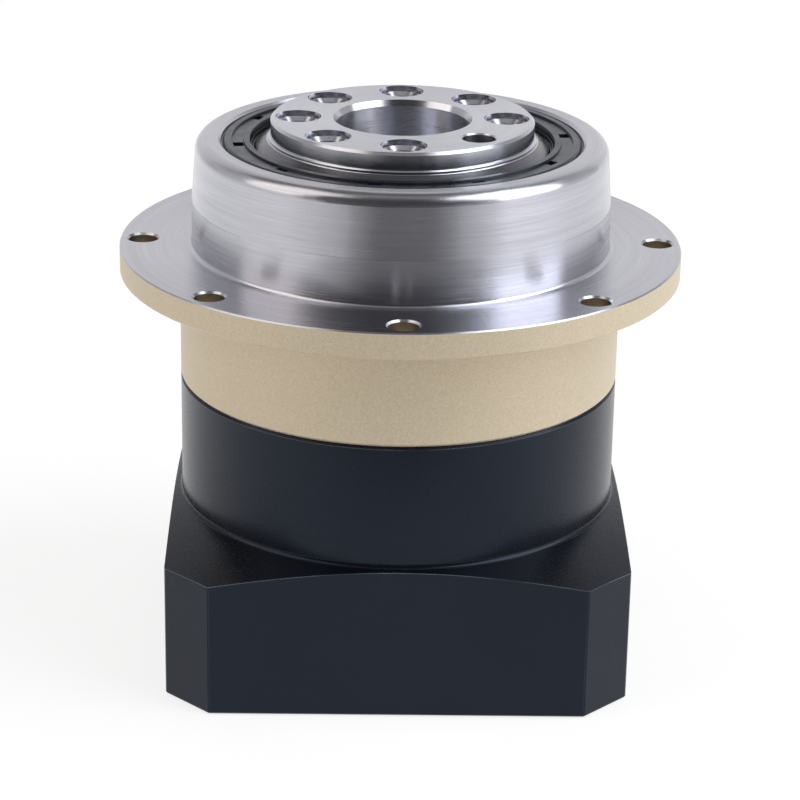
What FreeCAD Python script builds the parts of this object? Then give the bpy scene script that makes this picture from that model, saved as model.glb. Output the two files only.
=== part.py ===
import FreeCAD, Part
import math
import os
import Sketcher

# Helical planetary gearbox with a flange output, drawn in millimetres.
# The motor face lies at z = 0 and the output shaft points up along +Z.

SIZES = {
    # Motor adapter, outside
    "base_width": (70, "width of the square base"),
    "corner_cut": (6.8, "leg of the flat across each base corner"),
    "base_height": (23.7, "height at which the cone meets the barrel"),
    "cone_angle": (15, "slope of the turned cone over the base"),
    "barrel_diameter": (67.7, "barrel of adapter and housing"),
    "barrel_length": (19.1, "barrel of the adapter above the cone"),
    "barrel_root": (0.4, "rounding between cone and barrel"),
    "base_edge_break": (0.2, "small chamfer on the edges of the base"),
    "spigot_length": (3, "spigot of the adapter inside the housing"),
    "edge_break": (0.4, "small chamfer on machined edges"),
    # Housing, outside
    "body_length": (16.8, "painted body below the flange"),
    "flange_diameter": (86, "mounting flange"),
    "flange_thickness": (4, "mounting flange"),
    "flange_hole_margin": (3.5, "hole centres to the rim of the mounting flange"),
    "flange_hole_diameter": (4.5, "clearance hole in the mounting flange"),
    "flange_hole_count": (8, "holes in the mounting flange"),
    "flange_hole_break": (0.3, "small chamfer at the mouths of those holes"),
    "flange_edge_break": (0.2, "small chamfer on the rim of the mounting flange"),
    "pilot_diameter": (64, "centring band above the flange"),
    "pilot_length": (7, "centring band above the flange"),
    "nose_diameter": (63.9, "foot of the nose above the centring band"),
    "nose_taper": (4, "slope of the sides of the nose"),
    "nose_length": (16.5, "flange face to the top of the nose"),
    "nose_round": (1.9, "rounding of the top edge of the nose"),
    "flange_root": (0.35, "rounding between flange face and centring band"),
    "body_root": (0.5, "rounding between body and flange"),
    # Output flange
    "output_stand": (19.5, "flange face to the output face"),
    "boss_diameter": (40, "centring boss of the output flange"),
    "boss_height": (2.6, "cylindrical part of the boss"),
    "centre_diameter": (20, "centring bore of the output flange"),
    "centre_depth": (10, "centring bore of the output flange"),
    "bolt_circle": (31.5, "holes in the output face"),
    "bolt_diameter": (5, "threads and dowel hole in the output face"),
    "bolt_depth": (8, "threads and dowel hole in the output face"),
    "bolt_mouth": (6.9, "relieved mouth of each thread"),
    "mouth_depth": (1.2, "relieved mouth of each thread"),
    "mouth_cone": (0.5, "cone from each relieved mouth to its thread"),
    "dowel_break": (0.2, "small chamfer at the mouth of the dowel hole"),
    "centre_lead": (0.9, "lead-in of the centring bore, along the axis"),
    "centre_lead_width": (0.54, "lead-in of the centring bore, across the axis"),
    "boss_chamfer": (0.4, "chamfer around the output face"),
    "boss_ledge": (0.4, "ledge around the foot of the boss"),
    # Output bearings and seal
    "journal_diameter": (45, "bearing seat on the carrier"),
    "bearing_diameter": (55, "bearing and seal bore in the housing"),
    "bearing_width": (6, "each output bearing"),
    "bearing_ball": (3, "balls of the output bearings"),
    "bearing_balls": (16, "balls in each output bearing"),
    "bearing_shoulder": (1.8, "housing shoulder between ring gear and bearings"),
    "shoulder_reach": (2, "how far that shoulder stands in from the bearing bore"),
    "shoulder_above_flange": (0.6, "bearing shoulder above the underside of the flange"),
    "seal_width": (5, "output seal"),
    "seal_sink": (0.2, "output seal below the top of the nose"),
    "seal_shoulder": (0.6, "lowered outer edge of the output seal"),
    "seal_rim": (0.85, "raised rims of the output seal"),
    "seal_taper": (0.2, "slope of the sides of the rims"),
    "seal_channel_depth": (0.3, "channel between the rims of the output seal"),
    "seal_notch_width": (2.1, "notches in that channel"),
    "seal_notch_depth": (0.7, "notches in that channel"),
    "seal_slope": (1.9, "sloping dust lip inside the rims of the output seal"),
    "seal_bevel": (0.5, "bevels beside a seal lip"),
    "seal_leg": (2.2, "thickness of the output seal behind its lip"),
    "seal_lip_depth": (1.5, "lip below the face of the output seal"),
    "seal_lip_width": (0.6, "running width of a seal lip"),
    "seal_lip_gap": (0.1, "between a seal lip and its shaft"),
    "spring_wire": (0.8, "garter spring of the output seal"),
    "cage_rim": (0.7, "bearing cages beside the balls"),
    "seal_notches": (10, "notches around the output seal"),
    "retaining_thickness": (1.2, "retaining rings"),
    "retaining_groove": (1.2, "depth of the retaining ring groove in the housing"),
    "retaining_groove_shaft": (0.8, "depth of the retaining ring grooves on shafts"),
    "retaining_reach": (1.6, "retaining rings outside their grooves"),
    # Gear set
    "gear_module": (0.7, "module across the face of the gears"),
    "sun_teeth": (18, "teeth of the sun gear"),
    "planet_teeth": (27, "teeth of each planet gear"),
    "helix_angle": (18, "helix angle of the gears"),
    "gear_width": (10.7, "toothed width of the planets"),
    "flank_gap": (0.055, "thinning of each tooth flank"),
    "ring_rim": (1.925, "ring gear behind its tooth roots"),
    "planet_bore": (11, "bore of each planet"),
    "pin_diameter": (7, "planet pins"),
    "needle_count": (12, "needles in each planet"),
    "washer_thickness": (0.5, "thrust washers beside the planets"),
    "washer_land": (1.5, "thrust washers outside the planet bore"),
    "planet_side_gap": (0.15, "between planets and thrust washers"),
    "needle_end_gap": (0.4, "needles inside the ends of the planet bore"),
    "carrier_plate": (3, "rear plate of the planet cage"),
    "carrier_hollow": (6, "hollow of the carrier above the bearing shoulder"),
    "pin_seat": (3.8, "planet pins above the bearing shoulder"),
    "tooth_room": (0.5, "between tooth tips and the planet cage"),
    "sun_room": (1.5, "between the sun gear and the bore of the planet cage"),
    "cavity_gap": (0.6, "between planet cage and adapter"),
    # Input side
    "motor_pilot": (50, "recess for the pilot of the motor"),
    "motor_pilot_depth": (3.5, "recess for the pilot of the motor"),
    "motor_bolt_circle": (70, "threads for the motor screws"),
    "motor_bolt_diameter": (5, "threads for the motor screws"),
    "motor_bolt_depth": (12, "threads for the motor screws"),
    "motor_shaft": (14, "clamping bore for the motor shaft"),
    "hub_diameter": (25, "clamping hub of the input shaft"),
    "collar_diameter": (40, "clamp collar"),
    "collar_width": (12, "clamp collar"),
    "clamp_thread": (4, "clamp screw"),
    "shaft_seat": (20, "bearing seat on the input shaft"),
    "input_bearing": (32, "outside of the input bearing"),
    "input_bearing_width": (7, "input bearing"),
    "input_ball": (3.5, "balls of the input bearing"),
    "input_balls": (12, "balls in the input bearing"),
    "input_seal_width": (5, "input seal"),
    "input_seal_wall": (1.3, "walls of the input seal"),
    "input_seal_height": (0.8, "input seal above the foot of the barrel"),
    "input_land": (0.8, "land between input seal and input bearing"),
    "input_land_reach": (1.5, "how far that land stands in from the bearing bore"),
    "shaft_shoulder": (1, "seal run of the input shaft above its bearing seat"),
    "shaft_end": (0.6, "input shaft beyond its retaining ring"),
    "stub_inset": (1.8, "press stub of the sun gear inside its pitch circle"),
    "stub_floor": (1.2, "bottom of the stub bore above the bearing shoulder"),
    "stub_overlap": (1, "press stub inside the toothed part of the sun gear"),
    "shaft_web": (2.5, "web between motor bore and stub bore"),
    "hub_clearance": (0.5, "input shaft to the motor pilot recess and to the input seal"),
    "hub_slot": (1.2, "slots in the clamping hub"),
    "slot_overrun": (1, "slots beyond the clamp collar"),
    "collar_rise": (2.5, "clamp collar above the motor pilot recess"),
    "collar_slit": (1.6, "slit in the clamp collar"),
    "collar_room": (2, "between clamp collar and adapter"),
    "clamp_head": (7, "head of the clamp screw"),
    "clamp_seat": (4.8, "seat of that head beside the slit"),
    "clamp_reach": (7, "clamp screw beyond the slit"),
    "screw_circle": (62, "screws that hold adapter and housing together"),
    "screw_thread": (3, "screws that hold adapter and housing together"),
    "screw_count": (6, "screws that hold adapter and housing together"),
    "screw_head": (5.5, "heads of those screws"),
    "screw_clearance": (0.2, "around the heads and shanks of screws"),
    "screw_seat_depth": (3.7, "seats of those screws below the foot of the barrel"),
    "screw_reach": (8, "threads of those screws inside the housing"),
    "plug_diameter": (8, "hole over the clamp screw"),
    "plug_length": (4.6, "plug in that hole"),
    "plug_sink": (0.4, "plug below the face of the base"),
    "plug_gap": (0.1, "between plug and hole"),
    "plug_socket": (4, "hexagon socket of the plug, across its flats"),
    "plug_socket_depth": (2.4, "hexagon socket of the plug"),
    "o_ring_cord": (1.28, "cord of the sealing ring on the spigot"),
    "o_ring_groove_height": (0.8, "groove of the sealing ring above the seam"),
    "o_ring_groove_width": (1.6, "groove of the sealing ring"),
    "o_ring_groove_depth": (1.35, "groove of the sealing ring"),
    # Fits
    "seat_gap": (0.05, "between parts that are pressed or pushed together"),
    "running_gap": (0.08, "between rolling bodies and their tracks"),
}

doc = FreeCAD.newDocument("planetary_gearbox")
sheet = doc.addObject("Spreadsheet::Sheet", "size")
for row, (alias, (number, meaning)) in enumerate(SIZES.items(), start=1):
    sheet.set(f"A{row}", meaning)
    sheet.set(f"B{row}", str(number))
    sheet.setAlias(f"B{row}", alias)
doc.recompute()


def value(expression):
    return float(sheet.evalExpression(expression))


# Heights along the axis, each worked out from the sizes
Z_SEAM = "(size.base_height + size.barrel_length)"
Z_UNDER = f"({Z_SEAM} + size.body_length)"
Z_FLANGE = f"({Z_UNDER} + size.flange_thickness)"
Z_PILOT = f"({Z_FLANGE} + size.pilot_length)"
Z_NOSE = f"({Z_FLANGE} + size.nose_length)"
Z_OUTPUT = f"({Z_FLANGE} + size.output_stand)"
Z_BOSS = f"({Z_OUTPUT} - size.boss_height)"
Z_BEARING = f"({Z_UNDER} + size.shoulder_above_flange)"
Z_BEARING_SPLIT = f"({Z_BEARING} + size.bearing_width)"
Z_BEARING_TOP = f"({Z_BEARING} + 2 * size.bearing_width)"
Z_RETAINER_TOP = f"({Z_BEARING_TOP} + size.retaining_thickness)"
Z_SEAL_TOP = f"({Z_NOSE} - size.seal_sink)"
Z_SEAL = f"({Z_SEAL_TOP} - size.seal_width)"
Z_RING_TOP = f"({Z_BEARING} - size.bearing_shoulder)"
Z_SPIGOT = f"({Z_SEAM} + size.spigot_length)"
Z_GEAR = f"(({Z_SPIGOT} + {Z_RING_TOP}) / 2)"
HALF_WINDOW = "(size.gear_width / 2 + size.washer_thickness + size.planet_side_gap)"
Z_WINDOW = f"({Z_GEAR} - {HALF_WINDOW})"
Z_WINDOW_TOP = f"({Z_GEAR} + {HALF_WINDOW})"
Z_CARRIER = f"({Z_WINDOW} - size.carrier_plate)"
Z_INPUT_SEAL = "(size.base_height + size.input_seal_height)"
Z_INPUT_LAND = f"({Z_INPUT_SEAL} + size.input_seal_width)"
Z_INPUT_BEARING = f"({Z_INPUT_LAND} + size.input_land)"
Z_INPUT_BEARING_TOP = f"({Z_INPUT_BEARING} + size.input_bearing_width)"
Z_INPUT_RETAINER_TOP = f"({Z_INPUT_BEARING_TOP} + size.retaining_thickness)"
Z_SHAFT_TOP = f"({Z_INPUT_RETAINER_TOP} + size.shaft_end)"
Z_COLLAR = "(size.motor_pilot_depth + size.collar_rise)"
Z_CLAMP = f"({Z_COLLAR} + size.collar_width / 2)"

# Radii that several parts share
R_BARREL = "(size.barrel_diameter / 2)"
R_JOURNAL = "(size.journal_diameter / 2)"
R_BEARING = "(size.bearing_diameter / 2)"
R_SUN = "(size.gear_module * size.sun_teeth / 2)"
R_PLANET = "(size.gear_module * size.planet_teeth / 2)"
R_ORBIT = f"({R_SUN} + {R_PLANET})"
R_RING = f"({R_SUN} + 2 * {R_PLANET})"
R_RING_SEAT = f"({R_RING} + 1.25 * size.gear_module + size.ring_rim)"
R_SPIGOT = f"({R_RING_SEAT} - size.seat_gap)"
R_CARRIER = f"({R_RING} - size.gear_module - size.tooth_room)"
R_CAVITY = f"({R_CARRIER} + size.cavity_gap)"
R_HUB = "(size.hub_diameter / 2)"
R_SEAT = "(size.shaft_seat / 2)"
R_INPUT = "(size.input_bearing / 2)"
R_COLLAR = "(size.collar_diameter / 2)"
R_SCREW = "(size.screw_thread / 2)"
R_SCREW_HEAD = "(size.screw_head / 2)"
R_SCREW_HEAD_ROOM = f"({R_SCREW_HEAD} + size.screw_clearance)"
Z_SCREW_SEAT = "(size.base_height - size.screw_seat_depth)"
R_STUB = f"({R_SUN} - size.stub_inset)"
R_SUN_ROOM = f"({R_SUN} + size.gear_module + size.sun_room)"
Z_STUB = f"({Z_INPUT_BEARING} + size.stub_floor)"
Z_PIN_TOP = f"({Z_BEARING} + size.pin_seat)"
X_CLAMP = f"(({R_HUB} + {R_COLLAR}) / 2)"
Z_HUB = "(size.motor_pilot_depth + size.hub_clearance)"
Z_CAVITY = f"({Z_CARRIER} - size.cavity_gap)"
R_SEAL_RUN = f"({R_SEAT} + size.shaft_shoulder)"
R_BOSS = "(size.boss_diameter / 2)"
R_OUTPUT_RUN = f"({R_BOSS} + size.boss_ledge)"

PLANETS = 3
PRESSURE_ANGLE = math.radians(20)
nodes = []


def origin_feature(body, role):
    return next(item for item in body.Origin.OriginFeatures if item.Role == role)


def new_body(label):
    body = doc.addObject("PartDesign::Body", label)
    body.Label = label
    nodes.append(body)
    return body


def new_sketch(body, plane, height="0", turn=0):
    """A sketch on an origin plane, raised by height or turned about the part's axis."""
    sketch = body.newObject("Sketcher::SketchObject", f"{body.Name}_sketch")
    sketch.AttachmentSupport = (origin_feature(body, plane), [""])
    sketch.MapMode = "FlatFace"
    spin_axis = FreeCAD.Vector(0, 0, 1) if plane == "XY_Plane" else FreeCAD.Vector(0, 1, 0)
    spin = FreeCAD.Rotation(spin_axis, turn)
    sketch.AttachmentOffset = FreeCAD.Placement(FreeCAD.Vector(0, 0, value(height)), spin)
    if height != "0":
        sketch.setExpression("AttachmentOffset.Base.z", height)
    return sketch


def bind(sketch, kind, geometry, point, expression):
    """Ties one coordinate of a sketch point to the sizes."""
    axis = -2 if kind == "DistanceX" else -1
    if expression == "0":
        sketch.addConstraint(Sketcher.Constraint("PointOnObject", geometry, point, axis))
        return
    constraint = Sketcher.Constraint(kind, -1, 1, geometry, point, value(expression))
    index = sketch.addConstraint(constraint)
    sketch.setExpression(f"Constraints[{index}]", expression)


def arc_between(first, last, radius):
    """An arc from first to last, turning left for a positive radius and right for a negative one."""
    chord = last - first
    middle = (first + last) * 0.5
    rise = math.sqrt(max(radius * radius - chord.Length ** 2 / 4, 0))
    left = FreeCAD.Vector(-chord.y, chord.x, 0).normalize()
    centre = middle + left * math.copysign(rise, radius)
    begin, end = (first, last) if radius > 0 else (last, first)
    start_angle = math.atan2(begin.y - centre.y, begin.x - centre.x)
    end_angle = math.atan2(end.y - centre.y, end.x - centre.x)
    circle = Part.Circle(centre, FreeCAD.Vector(0, 0, 1), abs(radius))
    return Part.ArcOfCircle(circle, start_angle, end_angle)


def draw_outline(sketch, outline):
    """Closed outline; a third entry is the radius of the arc that leads on from that point."""
    corners = [FreeCAD.Vector(value(entry[0]), value(entry[1]), 0) for entry in outline]
    ends = []
    for index, entry in enumerate(outline):
        first = corners[index]
        last = corners[(index + 1) % len(corners)]
        if len(entry) == 2:
            geometry = sketch.addGeometry(Part.LineSegment(first, last), False)
            ends.append((geometry, 1, 2))
        else:
            radius = value(entry[2])
            geometry = sketch.addGeometry(arc_between(first, last, radius), False)
            ends.append((geometry, 1, 2) if radius > 0 else (geometry, 2, 1))
            bound = sketch.addConstraint(Sketcher.Constraint("Radius", geometry, abs(radius)))
            sketch.setExpression(f"Constraints[{bound}]", f"abs({entry[2]})")
    for index, entry in enumerate(outline):
        geometry, start, _ = ends[index]
        before, _, finish = ends[index - 1]
        sketch.addConstraint(Sketcher.Constraint("Coincident", before, finish, geometry, start))
        bind(sketch, "DistanceX", geometry, start, entry[0])
        bind(sketch, "DistanceY", geometry, start, entry[1])


def turned(label, outline, angle=360):
    """A turned body from an outline of radius and height."""
    body = new_body(label)
    sketch = new_sketch(body, "XZ_Plane")
    draw_outline(sketch, outline)
    revolution = body.newObject("PartDesign::Revolution", f"{label}_turned")
    revolution.Profile = sketch
    revolution.ReferenceAxis = (sketch, ["V_Axis"])
    revolution.Angle = angle
    doc.recompute()
    return body


def patterned(body, feature, count, sweep=360):
    """Repeats a feature around the part's axis, over a whole turn or over a part of it."""
    pattern = body.newObject("PartDesign::PolarPattern", f"{body.Name}_pattern")
    pattern.Originals = [feature]
    pattern.Axis = (origin_feature(body, "Z_Axis"), [""])
    pattern.Angle = sweep
    pattern.Occurrences = int(value(count))
    if not count.isdigit():
        pattern.setExpression("Occurrences", count)
    body.Tip = pattern
    doc.recompute()


def drilled(body, distance, outline, count="1", turn=0, sweep=360):
    """A stepped hole parallel to the axis at a distance from it, from an outline of radius and height."""
    sketch = new_sketch(body, "XZ_Plane", turn=turn)
    heights = [entry[1] for entry in outline]
    axis_start = FreeCAD.Vector(value(distance), value(heights[0]), 0)
    axis_end = FreeCAD.Vector(value(distance), value(heights[-1]), 0)
    axis = sketch.addGeometry(Part.LineSegment(axis_start, axis_end), True)
    bind(sketch, "DistanceX", axis, 1, distance)
    bind(sketch, "DistanceX", axis, 2, distance)
    bind(sketch, "DistanceY", axis, 1, heights[0])
    bind(sketch, "DistanceY", axis, 2, heights[-1])
    wall = [(f"{distance} + {radius}", height) for radius, height in outline]
    draw_outline(sketch, [(distance, heights[0])] + wall + [(distance, heights[-1])])
    groove = body.newObject("PartDesign::Groove", f"{body.Name}_hole")
    groove.Profile = sketch
    groove.ReferenceAxis = (sketch, ["Axis0"])
    groove.Angle = 360
    body.Tip = groove
    doc.recompute()
    if count != "1":
        patterned(body, groove, count, sweep)


def pocketed(body, plane, height, depth, draw, count="1", turn=0):
    """A pocket cut down from a height, or away from an upright plane, with its outline drawn by draw."""
    sketch = new_sketch(body, plane, height, turn)
    draw(sketch)
    pocket = body.newObject("PartDesign::Pocket", f"{body.Name}_pocket")
    pocket.Profile = sketch
    pocket.Length = value(depth)
    pocket.setExpression("Length", depth)
    body.Tip = pocket
    doc.recompute()
    if count != "1":
        patterned(body, pocket, count)


def circle_at(across, up, radius):
    """Draws one circle, bound to the sizes, into a sketch."""
    def draw(sketch):
        centre = FreeCAD.Vector(value(across), value(up), 0)
        circle = Part.Circle(centre, FreeCAD.Vector(0, 0, 1), value(radius))
        geometry = sketch.addGeometry(circle, False)
        bind(sketch, "DistanceX", geometry, 3, across)
        bind(sketch, "DistanceY", geometry, 3, up)
        index = sketch.addConstraint(Sketcher.Constraint("Radius", geometry, value(radius)))
        sketch.setExpression(f"Constraints[{index}]", radius)
    return draw


def outline_of(outline):
    def draw(sketch):
        draw_outline(sketch, outline)
    return draw


def rectangle(left, bottom, right, top):
    return outline_of([(left, bottom), (right, bottom), (right, top), (left, top)])


def hexagon(radius):
    corners = [60 * side for side in range(6)]
    return outline_of([(f"{radius} * cos({corner})", f"{radius} * sin({corner})") for corner in corners])


def placed_cylinder(name, radius, height, across, along, base):
    cylinder = doc.addObject("Part::Cylinder", name)
    cylinder.setExpression("Radius", radius)
    cylinder.setExpression("Height", height)
    cylinder.setExpression("Placement.Base.x", across)
    cylinder.setExpression("Placement.Base.y", along)
    cylinder.setExpression("Placement.Base.z", base)
    return cylinder


def gathered(label, members):
    """One node from several loose pieces of the same kind."""
    group = doc.addObject("Part::Compound", label)
    group.Label = label
    group.Links = members
    nodes.append(group)


# Housing: flange, nose and body are one turned steel piece. The bearings and the seal sit in the
# bore of the nose and the ring gear is pressed in from below.
def ring_gear_housing():
    flange = "(size.flange_diameter / 2)"
    pilot = "(size.pilot_diameter / 2)"
    nose = "(size.nose_diameter / 2)"
    nose_edge = f"({Z_NOSE} - size.nose_round * (1 - sin(size.nose_taper)))"
    nose_top = f"({nose} - ({nose_edge} - {Z_PILOT}) * tan(size.nose_taper))"
    groove = f"({R_BEARING} + size.retaining_groove)"
    land = f"({R_BEARING} - size.shoulder_reach)"
    body = turned("ring_gear_housing", [
        (R_RING_SEAT, Z_SEAM),
        (f"{R_BARREL} - size.edge_break", Z_SEAM),
        (R_BARREL, f"{Z_SEAM} + size.edge_break"),
        (R_BARREL, f"{Z_UNDER} - size.body_root", "-size.body_root"),
        (f"{R_BARREL} + size.body_root", Z_UNDER),
        (f"{flange} - size.flange_edge_break", Z_UNDER),
        (flange, f"{Z_UNDER} + size.flange_edge_break"),
        (flange, f"{Z_FLANGE} - size.flange_edge_break"),
        (f"{flange} - size.flange_edge_break", Z_FLANGE),
        (f"{pilot} + size.flange_root", Z_FLANGE, "-size.flange_root"),
        (pilot, f"{Z_FLANGE} + size.flange_root"),
        (pilot, Z_PILOT),
        (nose, Z_PILOT),
        (nose_top, nose_edge, "size.nose_round"),
        (f"{nose_top} - size.nose_round * cos(size.nose_taper)", Z_NOSE),
        (f"{R_BEARING} + size.edge_break", Z_NOSE),
        (R_BEARING, f"{Z_NOSE} - size.edge_break"),
        (R_BEARING, f"{Z_RETAINER_TOP} + size.seat_gap"),
        (groove, f"{Z_RETAINER_TOP} + size.seat_gap"),
        (groove, Z_BEARING_TOP),
        (R_BEARING, Z_BEARING_TOP),
        (R_BEARING, Z_BEARING),
        (land, Z_BEARING),
        (land, Z_RING_TOP),
        (R_RING_SEAT, Z_RING_TOP),
    ])
    hole = "(size.flange_hole_diameter / 2)"
    drilled(body, f"{flange} - size.flange_hole_margin", [
        (hole, Z_UNDER),
        (hole, f"{Z_FLANGE} - size.flange_hole_break"),
        (f"{hole} + size.flange_hole_break", Z_FLANGE),
    ], "size.flange_hole_count")
    drilled(body, "size.screw_circle / 2", [
        (R_SCREW, Z_SEAM),
        (R_SCREW, f"{Z_SEAM} + size.screw_reach + size.screw_thread / 3"),
    ], "size.screw_count", turn=30)


# Gears: involute teeth twisted along the face. The profile is drawn at three heights, each of its
# edges is lofted through them, and the strips are closed with the two end faces.
def involute(base, radius):
    pressure = math.acos(min(1, base / radius))
    return math.tan(pressure) - pressure


def tooth_edges(teeth, root, tip, gap, turn, height):
    """Edges around all teeth at one height, with the first tooth centred on the turn angle."""
    module = value("size.gear_module")
    pitch = module * teeth / 2
    base = pitch * math.cos(PRESSURE_ANGLE)
    start = max(base * 1.002, root)
    half = (math.pi * module / 4 - gap) / pitch
    middle = (start + tip) / 2
    step = 2 * math.pi / teeth

    def point(radius, angle):
        return FreeCAD.Vector(radius * math.cos(angle), radius * math.sin(angle), height)

    def flank_angle(radius):
        return half + involute(base, pitch) - involute(base, radius)

    edges = []
    for tooth in range(teeth):
        centre = turn + tooth * step
        right = [
            point(root, centre - flank_angle(start)),
            point(middle, centre - flank_angle(middle)),
            point(tip, centre - flank_angle(tip)),
        ]
        left = [
            point(tip, centre + flank_angle(tip)),
            point(middle, centre + flank_angle(middle)),
            point(root, centre + flank_angle(start)),
        ]
        next_root = point(root, centre + step - flank_angle(start))
        edges.append(Part.Arc(*right).toShape())
        edges.append(Part.Arc(right[2], point(tip, centre), left[0]).toShape())
        edges.append(Part.Arc(*left).toShape())
        edges.append(Part.Arc(left[2], point(root, centre + step / 2), next_root).toShape())
    return edges


def twisted_teeth(teeth, root, tip, gap, hand, bottom, top, height):
    """Solid with helical teeth between two heights; the teeth face straight out at the given height."""
    pitch = value("size.gear_module") * teeth / 2
    lead = math.tan(math.radians(value("size.helix_angle"))) / pitch
    sections = []
    for level in (bottom, (bottom + top) / 2, top):
        sections.append(tooth_edges(teeth, root, tip, gap, hand * lead * (level - height), level))
    faces = [Part.Face(Part.Wire(sections[0])), Part.Face(Part.Wire(sections[-1]))]
    for strip in zip(*sections):
        faces += Part.makeLoft([Part.Wire([edge]) for edge in strip], False, False).Faces
    shell = Part.makeShell(faces)
    shell.sewShape()
    return Part.makeSolid(shell)


def gear_feature(label, shape):
    feature = doc.addObject("Part::Feature", label)
    feature.Label = label
    feature.Shape = shape
    nodes.append(feature)
    return feature


def gear_set():
    module = value("size.gear_module")
    gap = value("size.flank_gap")
    middle = value(Z_GEAR)
    width = value("size.gear_width")
    sun_teeth = int(value("size.sun_teeth"))
    planet_teeth = int(value("size.planet_teeth"))
    sun_pitch = value(R_SUN)
    planet_pitch = value(R_PLANET)
    ring_pitch = value(R_RING)

    ring_bottom = value(Z_SPIGOT)
    ring_top = value(Z_RING_TOP)
    spaces = twisted_teeth(
        sun_teeth + 2 * planet_teeth, ring_pitch - module, ring_pitch + 1.25 * module,
        -gap, -1, ring_bottom, ring_top, middle)
    outside = value(R_SPIGOT)
    blank = Part.makeCylinder(outside, ring_top - ring_bottom, FreeCAD.Vector(0, 0, ring_bottom))
    gear_feature("ring_gear", blank.cut(spaces))

    sun_teeth_solid = twisted_teeth(
        sun_teeth, sun_pitch - 1.25 * module, sun_pitch + module,
        gap, 1, middle - width / 2, middle + width / 2, middle)
    stub_bottom = value(Z_STUB)
    stub_height = middle - width / 2 + value("size.stub_overlap") - stub_bottom
    stub = Part.makeCylinder(value(R_STUB), stub_height, FreeCAD.Vector(0, 0, stub_bottom))
    gear_feature("sun_gear", sun_teeth_solid.fuse(stub))

    planet = twisted_teeth(
        planet_teeth, planet_pitch - 1.25 * module, planet_pitch + module,
        gap, -1, -width / 2, width / 2, 0)
    bore = Part.makeCylinder(value("size.planet_bore / 2"), width, FreeCAD.Vector(0, 0, -width / 2))
    planet = planet.cut(bore)
    for number in range(PLANETS):
        feature = gear_feature(f"planet_gear_{number + 1}", planet)
        spin = FreeCAD.Rotation(FreeCAD.Vector(0, 0, 1), 360 / PLANETS * number)
        feature.Placement = FreeCAD.Placement(spin.multVec(FreeCAD.Vector(value(R_ORBIT), 0, middle)), spin)


# Planet bearings: each planet runs on needles around a ground pin, between two thrust washers.
def planet_bearings():
    needle = "(size.planet_bore - size.pin_diameter) / 4 - size.running_gap"
    needle_orbit = "(size.planet_bore + size.pin_diameter) / 4"
    washers = []
    for number in range(PLANETS):
        angle = 360 / PLANETS * number
        across = f"{R_ORBIT} * cos({angle})"
        along = f"{R_ORBIT} * sin({angle})"
        pin = placed_cylinder(f"planet_pin_{number + 1}", "size.pin_diameter / 2",
                              f"{Z_PIN_TOP} - {Z_CARRIER}", across, along, Z_CARRIER)
        pin.Label = f"planet_pin_{number + 1}"
        nodes.append(pin)
        needles = []
        for place in range(int(value("size.needle_count"))):
            turn = f"({angle} + 360 * {place} / size.needle_count)"
            needles.append(placed_cylinder(
                f"needle_{number + 1}_{place + 1}", needle, "size.gear_width - 2 * size.needle_end_gap",
                f"{across} + {needle_orbit} * cos({turn})", f"{along} + {needle_orbit} * sin({turn})",
                f"{Z_GEAR} - size.gear_width / 2 + size.needle_end_gap"))
        gathered(f"planet_needles_{number + 1}", needles)
        for side, base in (("rear", Z_WINDOW), ("front", f"{Z_WINDOW_TOP} - size.washer_thickness")):
            name = f"washer_{number + 1}_{side}"
            disc = placed_cylinder(f"{name}_disc", "size.planet_bore / 2 + size.washer_land",
                                   "size.washer_thickness", across, along, base)
            hole = placed_cylinder(f"{name}_hole", "size.pin_diameter / 2 + size.seat_gap",
                                   "size.washer_thickness", across, along, base)
            washer = doc.addObject("Part::Cut", name)
            washer.Base = disc
            washer.Tool = hole
            washers.append(washer)
    gathered("thrust_washers", washers)


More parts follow.
